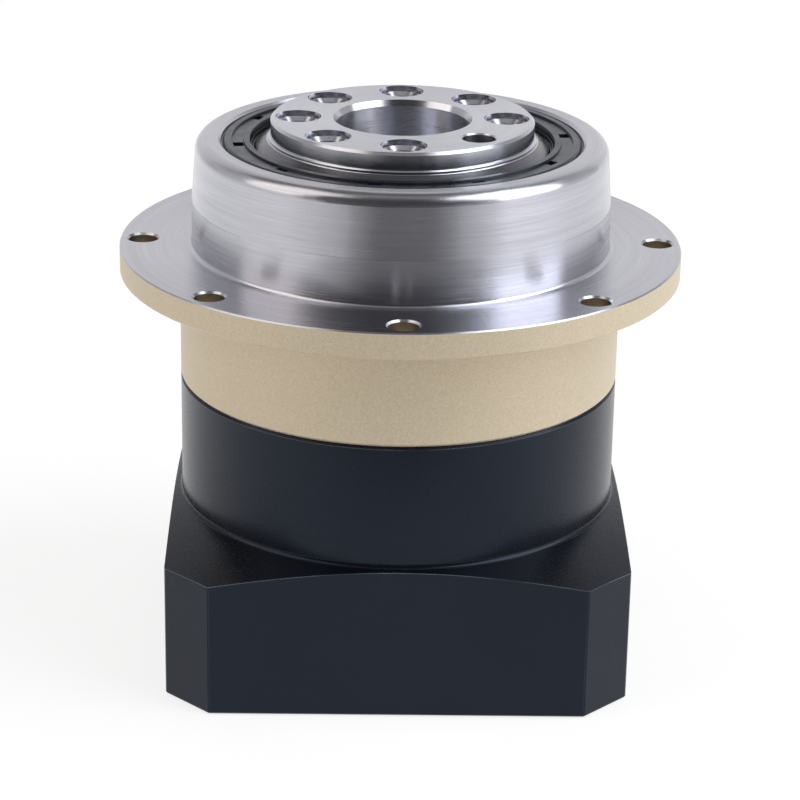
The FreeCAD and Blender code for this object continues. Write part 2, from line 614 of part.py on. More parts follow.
# Carrier: output flange, bearing journal and planet cage are one piece of ground steel.
def output_carrier():
    bore = "(size.centre_diameter / 2)"
    groove = f"({R_JOURNAL} - size.retaining_groove_shaft)"
    shoulder = f"({Z_SEAL} - size.edge_break)"
    body = turned("output_carrier", [
        (R_SUN_ROOM, Z_CARRIER),
        (f"{R_CARRIER} - size.edge_break", Z_CARRIER),
        (R_CARRIER, f"{Z_CARRIER} + size.edge_break"),
        (R_CARRIER, Z_BEARING),
        (R_JOURNAL, Z_BEARING),
        (R_JOURNAL, Z_BEARING_TOP),
        (groove, Z_BEARING_TOP),
        (groove, f"{Z_RETAINER_TOP} + size.seat_gap"),
        (R_JOURNAL, f"{Z_RETAINER_TOP} + size.seat_gap"),
        (R_JOURNAL, f"{shoulder} - size.edge_break"),
        (f"{R_JOURNAL} - size.edge_break", shoulder),
        (R_OUTPUT_RUN, shoulder),
        (R_OUTPUT_RUN, f"{Z_BOSS} - size.boss_ledge / 2"),
        (f"{R_OUTPUT_RUN} - size.boss_ledge / 2", Z_BOSS),
        (R_BOSS, Z_BOSS),
        (R_BOSS, f"{Z_OUTPUT} - size.boss_chamfer"),
        (f"{R_BOSS} - size.boss_chamfer", Z_OUTPUT),
        (f"{bore} + size.centre_lead_width", Z_OUTPUT),
        (bore, f"{Z_OUTPUT} - size.centre_lead"),
        (bore, f"{Z_OUTPUT} - size.centre_depth"),
        ("0", f"{Z_OUTPUT} - size.centre_depth"),
        ("0", f"{Z_BEARING} + size.carrier_hollow"),
        (R_SUN_ROOM, f"{Z_BEARING} + size.carrier_hollow"),
    ])
    window = f"{R_PLANET} + size.gear_module + size.tooth_room"
    pocketed(body, "XY_Plane", Z_WINDOW_TOP, f"{Z_WINDOW_TOP} - {Z_WINDOW}",
             circle_at(R_ORBIT, "0", window), str(PLANETS))
    pin_hole = "size.pin_diameter / 2 + size.seat_gap"
    drilled(body, R_ORBIT, [(pin_hole, Z_CARRIER), (pin_hole, Z_PIN_TOP)], str(PLANETS))
    hole = "(size.bolt_diameter / 2)"
    mouth = "(size.bolt_mouth / 2)"
    bottom = f"({Z_OUTPUT} - size.bolt_depth)"
    drilled(body, "size.bolt_circle / 2", [
        (hole, bottom),
        (hole, f"{Z_OUTPUT} - size.mouth_depth - size.mouth_cone"),
        (mouth, f"{Z_OUTPUT} - size.mouth_depth"),
        (mouth, Z_OUTPUT),
    ], "7", sweep=270)
    drilled(body, "size.bolt_circle / 2", [
        (hole, bottom),
        (hole, f"{Z_OUTPUT} - size.dowel_break"),
        (f"{hole} + size.dowel_break", Z_OUTPUT),
    ], turn=-45)


# Ball bearings: two rings with ground tracks, balls and a ring cage with round pockets.
def ball_bearing(prefix, bore, outside, bottom, width, ball, count):
    pitch = f"(({bore} + {outside}) / 2)"
    track = f"({ball} / 2 + size.running_gap)"
    lip = f"({ball} * 0.285)"
    half_track = f"sqrt({track} * {track} - {lip} * {lip})"
    middle = f"({bottom} + {width} / 2)"
    top = f"({bottom} + {width})"
    turned(f"{prefix}_outer_ring", [
        (f"{pitch} + {lip}", bottom),
        (f"{outside} - size.seat_gap", bottom),
        (f"{outside} - size.seat_gap", top),
        (f"{pitch} + {lip}", top),
        (f"{pitch} + {lip}", f"{middle} + {half_track}", f"-{track}"),
        (f"{pitch} + {lip}", f"{middle} - {half_track}"),
    ])
    turned(f"{prefix}_inner_ring", [
        (f"{bore} + size.seat_gap", bottom),
        (f"{pitch} - {lip}", bottom),
        (f"{pitch} - {lip}", f"{middle} - {half_track}", f"-{track}"),
        (f"{pitch} - {lip}", f"{middle} + {half_track}"),
        (f"{pitch} - {lip}", top),
        (f"{bore} + size.seat_gap", top),
    ])
    balls = []
    for place in range(int(value(count))):
        sphere = doc.addObject("Part::Sphere", f"{prefix}_ball_{place + 1}")
        turn = f"(360 * {place} / {count})"
        sphere.setExpression("Radius", f"{ball} / 2")
        sphere.setExpression("Placement.Base.x", f"{pitch} * cos({turn})")
        sphere.setExpression("Placement.Base.y", f"{pitch} * sin({turn})")
        sphere.setExpression("Placement.Base.z", middle)
        balls.append(sphere)
    gathered(f"{prefix}_balls", balls)
    wall = f"({ball} * 0.2)"
    rim = f"({ball} / 2 + size.running_gap + size.cage_rim)"
    cage = turned(f"{prefix}_cage", [
        (f"{pitch} - {wall}", f"{middle} - {rim}"),
        (f"{pitch} + {wall}", f"{middle} - {rim}"),
        (f"{pitch} + {wall}", f"{middle} + {rim}"),
        (f"{pitch} - {wall}", f"{middle} + {rim}"),
    ])
    pocketed(cage, "YZ_Plane", f"{pitch} + {ball}", f"2 * {ball}",
             circle_at("0", middle, f"{ball} / 2 + size.running_gap"), count)


# Retaining rings: sprung rings with a gap, in grooves beside the bearings. One kind springs out
# into a bore, the other closes on a shaft.
def retaining_ring(label, inside, outside, bottom):
    top = f"({bottom} + size.retaining_thickness)"
    outline = [(inside, bottom), (outside, bottom), (outside, top), (inside, top)]
    turned(label, outline, angle=318)


def retaining_rings(bore_label, bore, shaft_label, shaft, bottom):
    retaining_ring(bore_label, f"{bore} - size.retaining_reach",
                   f"{bore} + size.retaining_groove - size.seat_gap", bottom)
    retaining_ring(shaft_label, f"{shaft} - size.retaining_groove_shaft + size.seat_gap",
                   f"{shaft} + size.retaining_reach", bottom)


# Output seal: moulded rubber with two raised rims, a notched channel between them and a sloping
# dust lip inside. A garter spring behind the lip presses it on the carrier.
def output_seal():
    outside = f"({R_BEARING} - size.seat_gap)"
    edge = f"({outside} - size.seal_shoulder)"
    lip = f"({R_OUTPUT_RUN} + size.seal_lip_gap)"
    slope = f"({lip} + size.seal_slope)"
    bevel = f"({lip} + size.seal_bevel)"
    leg = f"({lip} + size.seal_leg)"
    ledge = f"({Z_SEAL_TOP} - size.seal_shoulder)"
    channel = f"({Z_SEAL_TOP} - size.seal_channel_depth)"
    channel_outside = f"({edge} - 2 * size.seal_taper - size.seal_rim)"
    channel_inside = f"({slope} + size.seal_rim + size.seal_taper)"
    lip_top = f"({Z_SEAL_TOP} - size.seal_lip_depth)"
    lip_foot = f"({lip_top} - size.seal_lip_width)"
    spring_seat = f"({lip_foot} - size.seal_bevel)"
    body = turned("output_seal", [
        (leg, Z_SEAL),
        (outside, Z_SEAL),
        (outside, ledge),
        (edge, ledge),
        (f"{edge} - size.seal_taper", Z_SEAL_TOP),
        (f"{channel_outside} + size.seal_taper", Z_SEAL_TOP),
        (channel_outside, channel),
        (channel_inside, channel),
        (f"{channel_inside} - size.seal_taper", Z_SEAL_TOP),
        (slope, Z_SEAL_TOP),
        (lip, lip_top),
        (lip, lip_foot),
        (bevel, spring_seat),
        (f"{bevel} + size.spring_wire", spring_seat),
        (leg, lip_foot),
    ])
    half_notch = "(size.seal_notch_width / 2)"
    notch = rectangle(f"{channel_inside} + size.seal_taper / 2", f"-{half_notch}",
                      f"{channel_outside} - size.seal_taper / 2", half_notch)
    pocketed(body, "XY_Plane", channel, "size.seal_notch_depth", notch, "size.seal_notches", turn=8)
    spring = doc.addObject("Part::Torus", "seal_spring")
    spring.Label = "seal_spring"
    spring.setExpression("Radius1", f"{bevel} + size.spring_wire / 2")
    spring.setExpression("Radius2", "size.spring_wire / 2")
    spring.setExpression("Placement.Base.z", f"{spring_seat} - size.spring_wire / 2")
    nodes.append(spring)


# Motor adapter: square base with cut corners, turned to a cone and a barrel above it. A spigot
# with a sealing ring enters the housing; long screws hold the two together from below.
def motor_adapter():
    pilot = "(size.motor_pilot / 2)"
    room = f"({R_COLLAR} + size.collar_room)"
    half = "(size.base_width / 2)"
    blank = f"({half} * sqrt(2))"
    root = "(size.barrel_root / tan(45 + size.cone_angle / 2))"
    ring_floor = f"({R_SPIGOT} - size.o_ring_groove_depth)"
    ring_foot = f"({Z_SEAM} + size.o_ring_groove_height)"
    ring_top = f"({ring_foot} + size.o_ring_groove_width)"
    retainer_floor = f"({R_INPUT} + size.retaining_groove)"
    retainer_top = f"({Z_INPUT_RETAINER_TOP} + size.seat_gap)"
    land = f"({R_INPUT} - size.input_land_reach)"
    body = turned("motor_adapter", [
        (pilot, "0"),
        (blank, "0"),
        (blank, f"size.base_height - ({blank} - {R_BARREL}) * tan(size.cone_angle)"),
        (f"{R_BARREL} + {root} * cos(size.cone_angle)",
         f"size.base_height - {root} * sin(size.cone_angle)", "-size.barrel_root"),
        (R_BARREL, f"size.base_height + {root}"),
        (R_BARREL, f"{Z_SEAM} - size.edge_break"),
        (f"{R_BARREL} - size.edge_break", Z_SEAM),
        (R_SPIGOT, Z_SEAM),
        (R_SPIGOT, ring_foot),
        (ring_floor, ring_foot),
        (ring_floor, ring_top),
        (R_SPIGOT, ring_top),
        (R_SPIGOT, Z_SPIGOT),
        (R_CAVITY, Z_SPIGOT),
        (R_CAVITY, Z_CAVITY),
        (R_INPUT, Z_CAVITY),
        (R_INPUT, retainer_top),
        (retainer_floor, retainer_top),
        (retainer_floor, Z_INPUT_BEARING_TOP),
        (R_INPUT, Z_INPUT_BEARING_TOP),
        (R_INPUT, Z_INPUT_BEARING),
        (land, Z_INPUT_BEARING),
        (land, Z_INPUT_LAND),
        (R_INPUT, Z_INPUT_LAND),
        (R_INPUT, Z_INPUT_SEAL),
        (room, Z_INPUT_SEAL),
        (room, "size.motor_pilot_depth"),
        (pilot, "size.motor_pilot_depth"),
    ])
    short = f"({half} - size.corner_cut)"
    square = [
        (short, f"-{half}"), (half, f"-{short}"), (half, short), (short, half),
        (f"-{short}", half), (f"-{half}", short), (f"-{half}", f"-{short}"), (f"-{short}", f"-{half}"),
    ]

    def draw_waste(sketch):
        circle_at("0", "0", "size.base_width")(sketch)
        draw_outline(sketch, square)

    pocketed(body, "XY_Plane", "size.base_height", "size.base_height", draw_waste)
    square_base = body.Tip
    base_edges = []
    for index, edge in enumerate(square_base.Shape.Edges, start=1):
        lowest = min(vertex.Z for vertex in edge.Vertexes)
        if edge.Curve.TypeId == "Part::GeomLine" and abs(lowest) < 1e-6:
            base_edges.append(f"Edge{index}")
    chamfer = body.newObject("PartDesign::Chamfer", "motor_adapter_edges")
    chamfer.Base = (square_base, base_edges)
    chamfer.setExpression("Size", "size.base_edge_break")
    body.Tip = chamfer
    doc.recompute()
    thread = "(size.motor_bolt_diameter / 2)"
    drilled(body, "size.motor_bolt_circle / 2", [
        (f"{thread} + size.edge_break", "0"),
        (thread, "size.edge_break"),
        (thread, "size.motor_bolt_depth"),
    ], "4", turn=45)
    drilled(body, "size.screw_circle / 2", [
        (R_SCREW_HEAD_ROOM, "0"),
        (R_SCREW_HEAD_ROOM, Z_SCREW_SEAT),
        (f"{R_SCREW} + size.screw_clearance", Z_SCREW_SEAT),
        (f"{R_SCREW} + size.screw_clearance", Z_SEAM),
    ], "size.screw_count", turn=30)
    pocketed(body, "XZ_Plane", "0", half, circle_at(X_CLAMP, Z_CLAMP, "size.plug_diameter / 2"))


# Housing screws: socket head screws in deep counterbores, from the motor face into the housing.
def housing_screws():
    length = f"({Z_SEAM} + size.screw_reach - {Z_SCREW_SEAT})"
    screws = []
    for place in range(int(value("size.screw_count"))):
        turn = f"(30 + 360 * {place} / size.screw_count)"
        across = f"size.screw_circle / 2 * cos({turn})"
        along = f"size.screw_circle / 2 * sin({turn})"
        name = f"housing_screw_{place + 1}"
        shank = placed_cylinder(f"{name}_shank", f"{R_SCREW} - size.seat_gap", length,
                                across, along, Z_SCREW_SEAT)
        cap = placed_cylinder(f"{name}_head", R_SCREW_HEAD, "size.screw_thread", across, along,
                              f"{Z_SCREW_SEAT} - size.screw_thread")
        socket = doc.addObject("Part::Prism", f"{name}_socket")
        socket.Polygon = 6
        socket.setExpression("Circumradius", "size.screw_thread * 0.48")
        socket.setExpression("Height", "size.screw_thread * 0.5")
        socket.setExpression("Placement.Base.x", across)
        socket.setExpression("Placement.Base.y", along)
        socket.setExpression("Placement.Base.z", f"{Z_SCREW_SEAT} - size.screw_thread")
        blank = doc.addObject("Part::MultiFuse", f"{name}_blank")
        blank.Shapes = [shank, cap]
        screw = doc.addObject("Part::Cut", name)
        screw.Base = blank
        screw.Tool = socket
        screws.append(screw)
    gathered("housing_screws", screws)


# Input shaft: slotted hub that is squeezed on the motor shaft, with the bearing seat above it.
def input_shaft():
    bore = "(size.motor_shaft / 2)"
    hub_top = f"({Z_INPUT_SEAL} - size.hub_clearance)"
    groove = f"({R_SEAT} - size.retaining_groove_shaft)"
    groove_top = f"({Z_INPUT_RETAINER_TOP} + size.seat_gap)"
    bore_top = f"({Z_STUB} - size.shaft_web)"
    shaft = turned("input_shaft", [
        (f"{bore} + size.edge_break", Z_HUB),
        (R_HUB, Z_HUB),
        (R_HUB, hub_top),
        (R_SEAL_RUN, hub_top),
        (R_SEAL_RUN, Z_INPUT_BEARING),
        (R_SEAT, Z_INPUT_BEARING),
        (R_SEAT, Z_INPUT_BEARING_TOP),
        (groove, Z_INPUT_BEARING_TOP),
        (groove, groove_top),
        (R_SEAT, groove_top),
        (R_SEAT, Z_SHAFT_TOP),
        (f"{R_STUB} + size.seat_gap", Z_SHAFT_TOP),
        (f"{R_STUB} + size.seat_gap", Z_STUB),
        ("0", Z_STUB),
        ("0", bore_top),
        (bore, bore_top),
        (bore, f"{Z_HUB} + size.edge_break"),
    ])
    slot_top = f"({Z_COLLAR} + size.collar_width + size.slot_overrun)"
    slot = rectangle("0", "-size.hub_slot / 2", "size.hub_diameter", "size.hub_slot / 2")
    pocketed(shaft, "XY_Plane", slot_top, slot_top, slot, "4")


# Clamp collar: slit ring that one screw pulls tight around the slotted hub.
def clamp_collar():
    top = f"({Z_COLLAR} + size.collar_width)"
    inside = f"({R_HUB} + size.seat_gap)"
    collar = turned("clamp_collar", [
        (inside, Z_COLLAR),
        (f"{R_COLLAR} - size.edge_break", Z_COLLAR),
        (R_COLLAR, f"{Z_COLLAR} + size.edge_break"),
        (R_COLLAR, f"{top} - size.edge_break"),
        (f"{R_COLLAR} - size.edge_break", top),
        (inside, top),
    ])
    slit = rectangle("0", "-size.collar_slit / 2", "size.collar_diameter", "size.collar_slit / 2")
    pocketed(collar, "XY_Plane", top, "size.collar_width", slit)
    thread = "(size.clamp_thread / 2)"
    head = "(size.clamp_head / 2)"
    pocketed(collar, "XZ_Plane", R_COLLAR, "size.collar_diameter",
             circle_at(X_CLAMP, Z_CLAMP, f"{thread} + size.seat_gap"))
    pocketed(collar, "XZ_Plane", "-size.clamp_seat", R_COLLAR,
             circle_at(X_CLAMP, Z_CLAMP, f"{head} + size.screw_clearance"))
    shank = "(size.clamp_reach + size.clamp_seat)"
    length = f"({shank} + size.clamp_thread)"
    screw = turned("clamp_screw", [
        ("0", "0"),
        (f"{thread} - size.edge_break", "0"),
        (thread, "size.edge_break"),
        (thread, shank),
        (head, shank),
        (head, f"{length} - size.edge_break"),
        (f"{head} - size.edge_break", length),
        ("0", length),
    ])
    pocketed(screw, "XY_Plane", length, "size.clamp_thread * 0.5", hexagon("(size.clamp_thread * 0.433)"))
    screw.Placement = FreeCAD.Placement(FreeCAD.Vector(), FreeCAD.Rotation(FreeCAD.Vector(1, 0, 0), -90))
    screw.setExpression("Placement.Base.x", X_CLAMP)
    screw.setExpression("Placement.Base.y", "-size.clamp_reach")
    screw.setExpression("Placement.Base.z", Z_CLAMP)


# Input seal: moulded rubber ring whose lip runs on the shaft below the bearing.
def input_seal():
    outside = f"({R_INPUT} - size.seat_gap)"
    lip = f"({R_SEAL_RUN} + size.seal_lip_gap)"
    wall = f"({outside} - size.input_seal_wall)"
    leg = f"({lip} + size.input_seal_wall)"
    floor = f"({Z_INPUT_SEAL} + size.input_seal_wall)"
    lip_foot = f"({Z_INPUT_SEAL} + size.input_seal_width / 2 - size.seal_lip_width / 2)"
    lip_top = f"({lip_foot} + size.seal_lip_width)"
    leg_top = f"({lip_top} + size.seal_bevel)"
    turned("input_seal", [
        (f"{lip} + size.seal_bevel", Z_INPUT_SEAL),
        (outside, Z_INPUT_SEAL),
        (outside, Z_INPUT_LAND),
        (wall, Z_INPUT_LAND),
        (wall, floor),
        (leg, floor),
        (leg, leg_top),
        (f"{lip} + size.seal_bevel", leg_top),
        (lip, lip_top),
        (lip, lip_foot),
    ])


# Sealing ring: round rubber cord in the groove of the spigot.
def sealing_ring():
    ring = doc.addObject("Part::Torus", "o_ring")
    ring.Label = "o_ring"
    ring.setExpression("Radius1", f"{R_SPIGOT} - size.o_ring_groove_depth / 2")
    ring.setExpression("Radius2", "size.o_ring_cord / 2")
    ring.setExpression("Placement.Base.z",
                       f"{Z_SEAM} + size.o_ring_groove_height + size.o_ring_groove_width / 2")
    nodes.append(ring)


# Access plug: pushed into the hole that leads to the clamp screw.
def access_plug():
    radius = "(size.plug_diameter / 2 - size.plug_gap)"
    plug = turned("access_plug", [
        ("0", "0"),
        (f"{radius} - size.edge_break", "0"),
        (radius, "size.edge_break"),
        (radius, "size.plug_length - size.edge_break"),
        (f"{radius} - size.edge_break", "size.plug_length"),
        ("0", "size.plug_length"),
    ])
    socket = hexagon("(size.plug_socket / sqrt(3))")
    pocketed(plug, "XY_Plane", "size.plug_length", "size.plug_socket_depth", socket)
    plug.Placement = FreeCAD.Placement(FreeCAD.Vector(), FreeCAD.Rotation(FreeCAD.Vector(1, 0, 0), -90))
    plug.setExpression("Placement.Base.x", X_CLAMP)
    plug.setExpression("Placement.Base.y", "size.base_width / 2 - size.plug_sink - size.plug_length")
    plug.setExpression("Placement.Base.z", Z_CLAMP)


ring_gear_housing()
motor_adapter()
output_carrier()
gear_set()
planet_bearings()
ball_bearing("rear_bearing", R_JOURNAL, R_BEARING, Z_BEARING, "size.bearing_width",
             "size.bearing_ball", "size.bearing_balls")
ball_bearing("front_bearing", R_JOURNAL, R_BEARING, Z_BEARING_SPLIT, "size.bearing_width",
             "size.bearing_ball", "size.bearing_balls")
retaining_rings("bearing_retaining_ring", R_BEARING, "carrier_retaining_ring", R_JOURNAL, Z_BEARING_TOP)
output_seal()
input_shaft()
clamp_collar()
ball_bearing("input_bearing", R_SEAT, R_INPUT, Z_INPUT_BEARING, "size.input_bearing_width",
             "size.input_ball", "size.input_balls")
retaining_rings("input_retaining_ring", R_INPUT, "shaft_retaining_ring", R_SEAT, Z_INPUT_BEARING_TOP)
input_seal()
housing_screws()
sealing_ring()
access_plug()
doc.recompute()

for item in doc.Objects:
    if "Invalid" in item.State or "Error" in item.State:
        raise RuntimeError(f"{item.Label} did not build: {item.State}")
os.makedirs("parts", exist_ok=True)
for node in nodes:
    if node.Shape.isNull() or not node.Shape.isValid():
        raise RuntimeError(f"{node.Label} has no valid shape")
    node.Shape.exportStep(f"parts/{node.Label}.step")
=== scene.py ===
import math

import bmesh
import bpy
from mathutils import Matrix, Quaternion, Vector


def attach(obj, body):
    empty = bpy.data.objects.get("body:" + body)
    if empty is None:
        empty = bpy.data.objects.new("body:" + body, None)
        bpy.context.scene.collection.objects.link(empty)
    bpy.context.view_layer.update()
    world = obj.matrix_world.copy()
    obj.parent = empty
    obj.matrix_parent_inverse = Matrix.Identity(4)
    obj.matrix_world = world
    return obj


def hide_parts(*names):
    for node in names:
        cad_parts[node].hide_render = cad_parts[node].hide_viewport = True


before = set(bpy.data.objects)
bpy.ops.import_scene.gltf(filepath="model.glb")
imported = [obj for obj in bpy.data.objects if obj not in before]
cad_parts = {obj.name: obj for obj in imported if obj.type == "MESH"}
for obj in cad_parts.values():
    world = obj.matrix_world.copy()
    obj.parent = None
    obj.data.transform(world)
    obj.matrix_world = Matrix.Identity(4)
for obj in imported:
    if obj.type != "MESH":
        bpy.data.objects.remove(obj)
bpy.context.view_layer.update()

# Lengths are in metres, as in the frame, and the output points up along Z.

# Housing: one turned steel piece with a mounting flange. The nose and the face of the flange are
# machined bare after painting. The rim and underside of the flange and the body keep a champagne
# paint, which also leaves a film in the drilled holes; the film's colour there is darkened further
# as painted shade inside the holes.
FLANGE_FACE_Z = 0.0636
FLANGE_CHAMFER = 0.0002
FLANGE_HOLE_BAND = (0.036, 0.042)
HOLE_WALL_TILT = 0.5
HOUSING_BORE_RADIUS = 0.0291
HOUSING_STEEL = (0.56, 0.56, 0.61, 1)
HOLE_FILM_AND_SHADE = (0.36, 0.3, 0.21, 1)
NOISE_RANGE = (0.3, 0.7)  # nearly all of a noise lies between these two values


def new_material(name):
    """A material with its Principled shader, ready for more nodes."""
    material = bpy.data.materials.new(name)
    material.use_nodes = True
    tree = material.node_tree
    shader = tree.nodes["Principled BSDF"]
    return material, tree, shader


def node(tree, kind, **settings):
    """Adds a node of a kind, with its settings."""
    made = tree.nodes.new(kind)
    for key, setting in settings.items():
        setattr(made, key, setting)
    return made


def math_node(tree, operation, first, second=None):
    """Works out one value from one or two others, each of them a number or a socket."""
    made = node(tree, "ShaderNodeMath", operation=operation)
    for socket, source in zip(made.inputs, (first, second)):
        if isinstance(source, (int, float)):
            socket.default_value = source
        elif source is not None:
            tree.links.new(source, socket)
    return made.outputs[0]


def blend(tree, first, second, share):
    """Adds two values, with the given share of the first and the rest of the second."""
    return math_node(tree, "ADD", math_node(tree, "MULTIPLY", first, share),
                     math_node(tree, "MULTIPLY", second, 1 - share))


def mapped(tree, source, low, high, start=0.0, end=1.0):
    """Maps a value between start and end to the range from low to high."""
    made = node(tree, "ShaderNodeMapRange")
    tree.links.new(source, made.inputs["Value"])
    made.inputs["From Min"].default_value = start
    made.inputs["From Max"].default_value = end
    made.inputs["To Min"].default_value = low
    made.inputs["To Max"].default_value = high
    return made.outputs["Result"]


def two_tone(tree, source, positions, colours):
    """Runs from the first colour to the second as a value goes from one position to the other."""
    ramp = node(tree, "ShaderNodeValToRGB")
    for stop, position, colour in zip(ramp.color_ramp.elements, positions, colours):
        stop.position = position
        stop.color = colour
    tree.links.new(source, ramp.inputs["Fac"])
    return ramp.outputs["Color"]


def object_noise(tree, scale, detail):
    """Noise that is fixed to the piece and runs the same way in all directions."""
    coordinates = node(tree, "ShaderNodeTexCoord")
    noise = node(tree, "ShaderNodeTexNoise")
    noise.inputs["Scale"].default_value = scale
    noise.inputs["Detail"].default_value = detail
    tree.links.new(coordinates.outputs["Object"], noise.inputs["Vector"])
    return noise.outputs["Fac"]


def bump_into(tree, shader, height, distance, strength):
    """Lets a value stand for the fine relief of a surface."""
    bump = node(tree, "ShaderNodeBump")
    bump.inputs["Strength"].default_value = strength
    bump.inputs["Distance"].default_value = distance
    tree.links.new(height, bump.inputs["Height"])
    tree.links.new(bump.outputs["Normal"], shader.inputs["Normal"])


PAINT_DARK = (0.56, 0.468, 0.332, 1)
PAINT_LIGHT = (0.66, 0.56, 0.405, 1)
PAINT_METALLIC = 0.25
PAINT_ROUGHNESS = (0.36, 0.5)
PAINT_FLAKE_SCALE = 5200.0
PAINT_FLAKE_SHARE = 0.5
PAINT_GRAIN_SCALE = 3000.0
PAINT_GRAIN_DETAIL = 3.0
PAINT_PEEL_DEPTH = 0.00002
PAINT_PEEL_STRENGTH = 0.4


def speckled_paint(name):
    """Champagne paint with fine metal flakes and a slight orange peel."""
    material, tree, shader = new_material(name)
    coordinates = node(tree, "ShaderNodeTexCoord")
    flakes = node(tree, "ShaderNodeTexVoronoi", feature="F1")
    flakes.inputs["Scale"].default_value = PAINT_FLAKE_SCALE
    tree.links.new(coordinates.outputs["Object"], flakes.inputs["Vector"])
    grain = object_noise(tree, PAINT_GRAIN_SCALE, PAINT_GRAIN_DETAIL)
    speckle = blend(tree, flakes.outputs["Color"], grain, PAINT_FLAKE_SHARE)
    tone = two_tone(tree, speckle, NOISE_RANGE, (PAINT_DARK, PAINT_LIGHT))
    tree.links.new(tone, shader.inputs["Base Color"])
    shader.inputs["Metallic"].default_value = PAINT_METALLIC
    rough = mapped(tree, speckle, *PAINT_ROUGHNESS, *NOISE_RANGE)
    tree.links.new(rough, shader.inputs["Roughness"])
    bump_into(tree, shader, grain, PAINT_PEEL_DEPTH, PAINT_PEEL_STRENGTH)
    return material


FINE_GROOVE_PITCH = 0.00012
FINE_GROOVE_CHANGE = 3.0
FINE_GROOVE_SHARE = 0.6
BROAD_GROOVE_PITCH = 0.0011
BROAD_GROOVE_CHANGE = 1.2
GROOVE_DETAIL = 3.0
GROOVE_STRENGTH = 0.5
BRUSH_QUARTER_TURN = 0.25
STREAK_DARK = 0.87
STREAK_LIGHT = 1.1
STREAK_RANGE = (0.32, 0.68)


def lathe_marks(tree, pitch, change):
    """Noise drawn out around the Z axis, as a cutting tool leaves it on a turned piece."""
    coordinates = node(tree, "ShaderNodeTexCoord")
    parts = node(tree, "ShaderNodeSeparateXYZ")
    tree.links.new(coordinates.outputs["Object"], parts.inputs[0])
    across = parts.outputs["X"]
    along = parts.outputs["Y"]
    squares = math_node(tree, "ADD", math_node(tree, "MULTIPLY", across, across),
                        math_node(tree, "MULTIPLY", along, along))
    radius = math_node(tree, "SQRT", squares)
    path = math_node(tree, "ADD", radius, parts.outputs["Z"])
    bearing = node(tree, "ShaderNodeCombineXYZ")
    tree.links.new(math_node(tree, "MULTIPLY", math_node(tree, "DIVIDE", across, radius), change),
                   bearing.inputs["X"])
    tree.links.new(math_node(tree, "DIVIDE", path, pitch), bearing.inputs["Y"])
    tree.links.new(math_node(tree, "MULTIPLY", math_node(tree, "DIVIDE", along, radius), change),
                   bearing.inputs["Z"])
    noise = node(tree, "ShaderNodeTexNoise")
    noise.inputs["Scale"].default_value = 1.0
    noise.inputs["Detail"].default_value = GROOVE_DETAIL
    tree.links.new(bearing.outputs[0], noise.inputs["Vector"])
    return noise.outputs["Fac"]


def turned_steel(name, colour, roughness, spread, groove_depth, anisotropy):
    """Bare metal off the lathe, with fine rings and faint streaks around the axis."""
    material, tree, shader = new_material(name)
    shader.inputs["Metallic"].default_value = 1.0
    shader.inputs["Anisotropic"].default_value = anisotropy
    shader.inputs["Anisotropic Rotation"].default_value = BRUSH_QUARTER_TURN
    tangent = node(tree, "ShaderNodeTangent", direction_type="RADIAL", axis="Z")
    tree.links.new(tangent.outputs[0], shader.inputs["Tangent"])
    fine = lathe_marks(tree, FINE_GROOVE_PITCH, FINE_GROOVE_CHANGE)
    broad = lathe_marks(tree, BROAD_GROOVE_PITCH, BROAD_GROOVE_CHANGE)
    both = blend(tree, fine, broad, FINE_GROOVE_SHARE)
    rough = mapped(tree, both, roughness - spread, roughness + spread, *NOISE_RANGE)
    tree.links.new(rough, shader.inputs["Roughness"])
    streaks = node(tree, "ShaderNodeMixRGB")
    streaks.inputs["Color1"].default_value = [level * STREAK_DARK for level in colour[:3]] + [1]
    streaks.inputs["Color2"].default_value = [level * STREAK_LIGHT for level in colour[:3]] + [1]
    tree.links.new(mapped(tree, both, 0.0, 1.0, *STREAK_RANGE), streaks.inputs["Fac"])
    tree.links.new(streaks.outputs["Color"], shader.inputs["Base Color"])
    bump_into(tree, shader, fine, groove_depth, GROOVE_STRENGTH)
    return material


SHARP_ANGLE = math.radians(33)
FLAT_FACE_WEIGHT = 100


def dress(name, *materials):
    """Gives a CAD node its materials and smooth shading that keeps the machined edges sharp."""
    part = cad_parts[name]
    mesh = part.data
    mesh.materials.clear()
    for material in materials:
        mesh.materials.append(material)
    mesh.polygons.foreach_set("material_index", [0] * len(mesh.polygons))
    mesh.shade_smooth()
    mesh.set_sharp_from_angle(angle=SHARP_ANGLE)
    flats = part.modifiers.new("true_flat_faces", "WEIGHTED_NORMAL")
    flats.weight = FLAT_FACE_WEIGHT
    flats.keep_sharp = True
    return part


paint = speckled_paint("champagne_paint")
bare_steel = turned_steel("bare_turned_steel", HOUSING_STEEL, roughness=0.26, spread=0.02,
                          groove_depth=0.00000035, anisotropy=0.8)
# The film's brown is darker than the paint: painted shade inside the drilled holes.
film_and_shade_steel = turned_steel("drilled_steel_paint_film_and_shade", HOLE_FILM_AND_SHADE, roughness=0.4, spread=0.1,
                            groove_depth=0.000004, anisotropy=0.0)
PAINTED, BARE, FILMED_SHADED = range(3)
housing = dress("ring_gear_housing", paint, bare_steel, film_and_shade_steel)
for face in housing.data.polygons:
    reach = math.hypot(face.center.x, face.center.y)
    machined = face.center.z > FLANGE_FACE_Z - FLANGE_CHAMFER or reach < HOUSING_BORE_RADIUS
    upright = abs(face.normal.z) < HOLE_WALL_TILT
    if machined:
        face.material_index = BARE
    elif upright and FLANGE_HOLE_BAND[0] < reach < FLANGE_HOLE_BAND[1]:
        face.material_index = FILMED_SHADED
    else:
        face.material_index = PAINTED

# Root of the flange: the radius that the rounded tip of the turning tool leaves in the bare steel
# between the face of the flange and the centring band. It is burnished, so it catches the light.
PILOT_RADIUS = 0.032
FLANGE_ROOT = 0.00063
ROOT_STEPS = 10
ROOT_SEGMENTS = 360


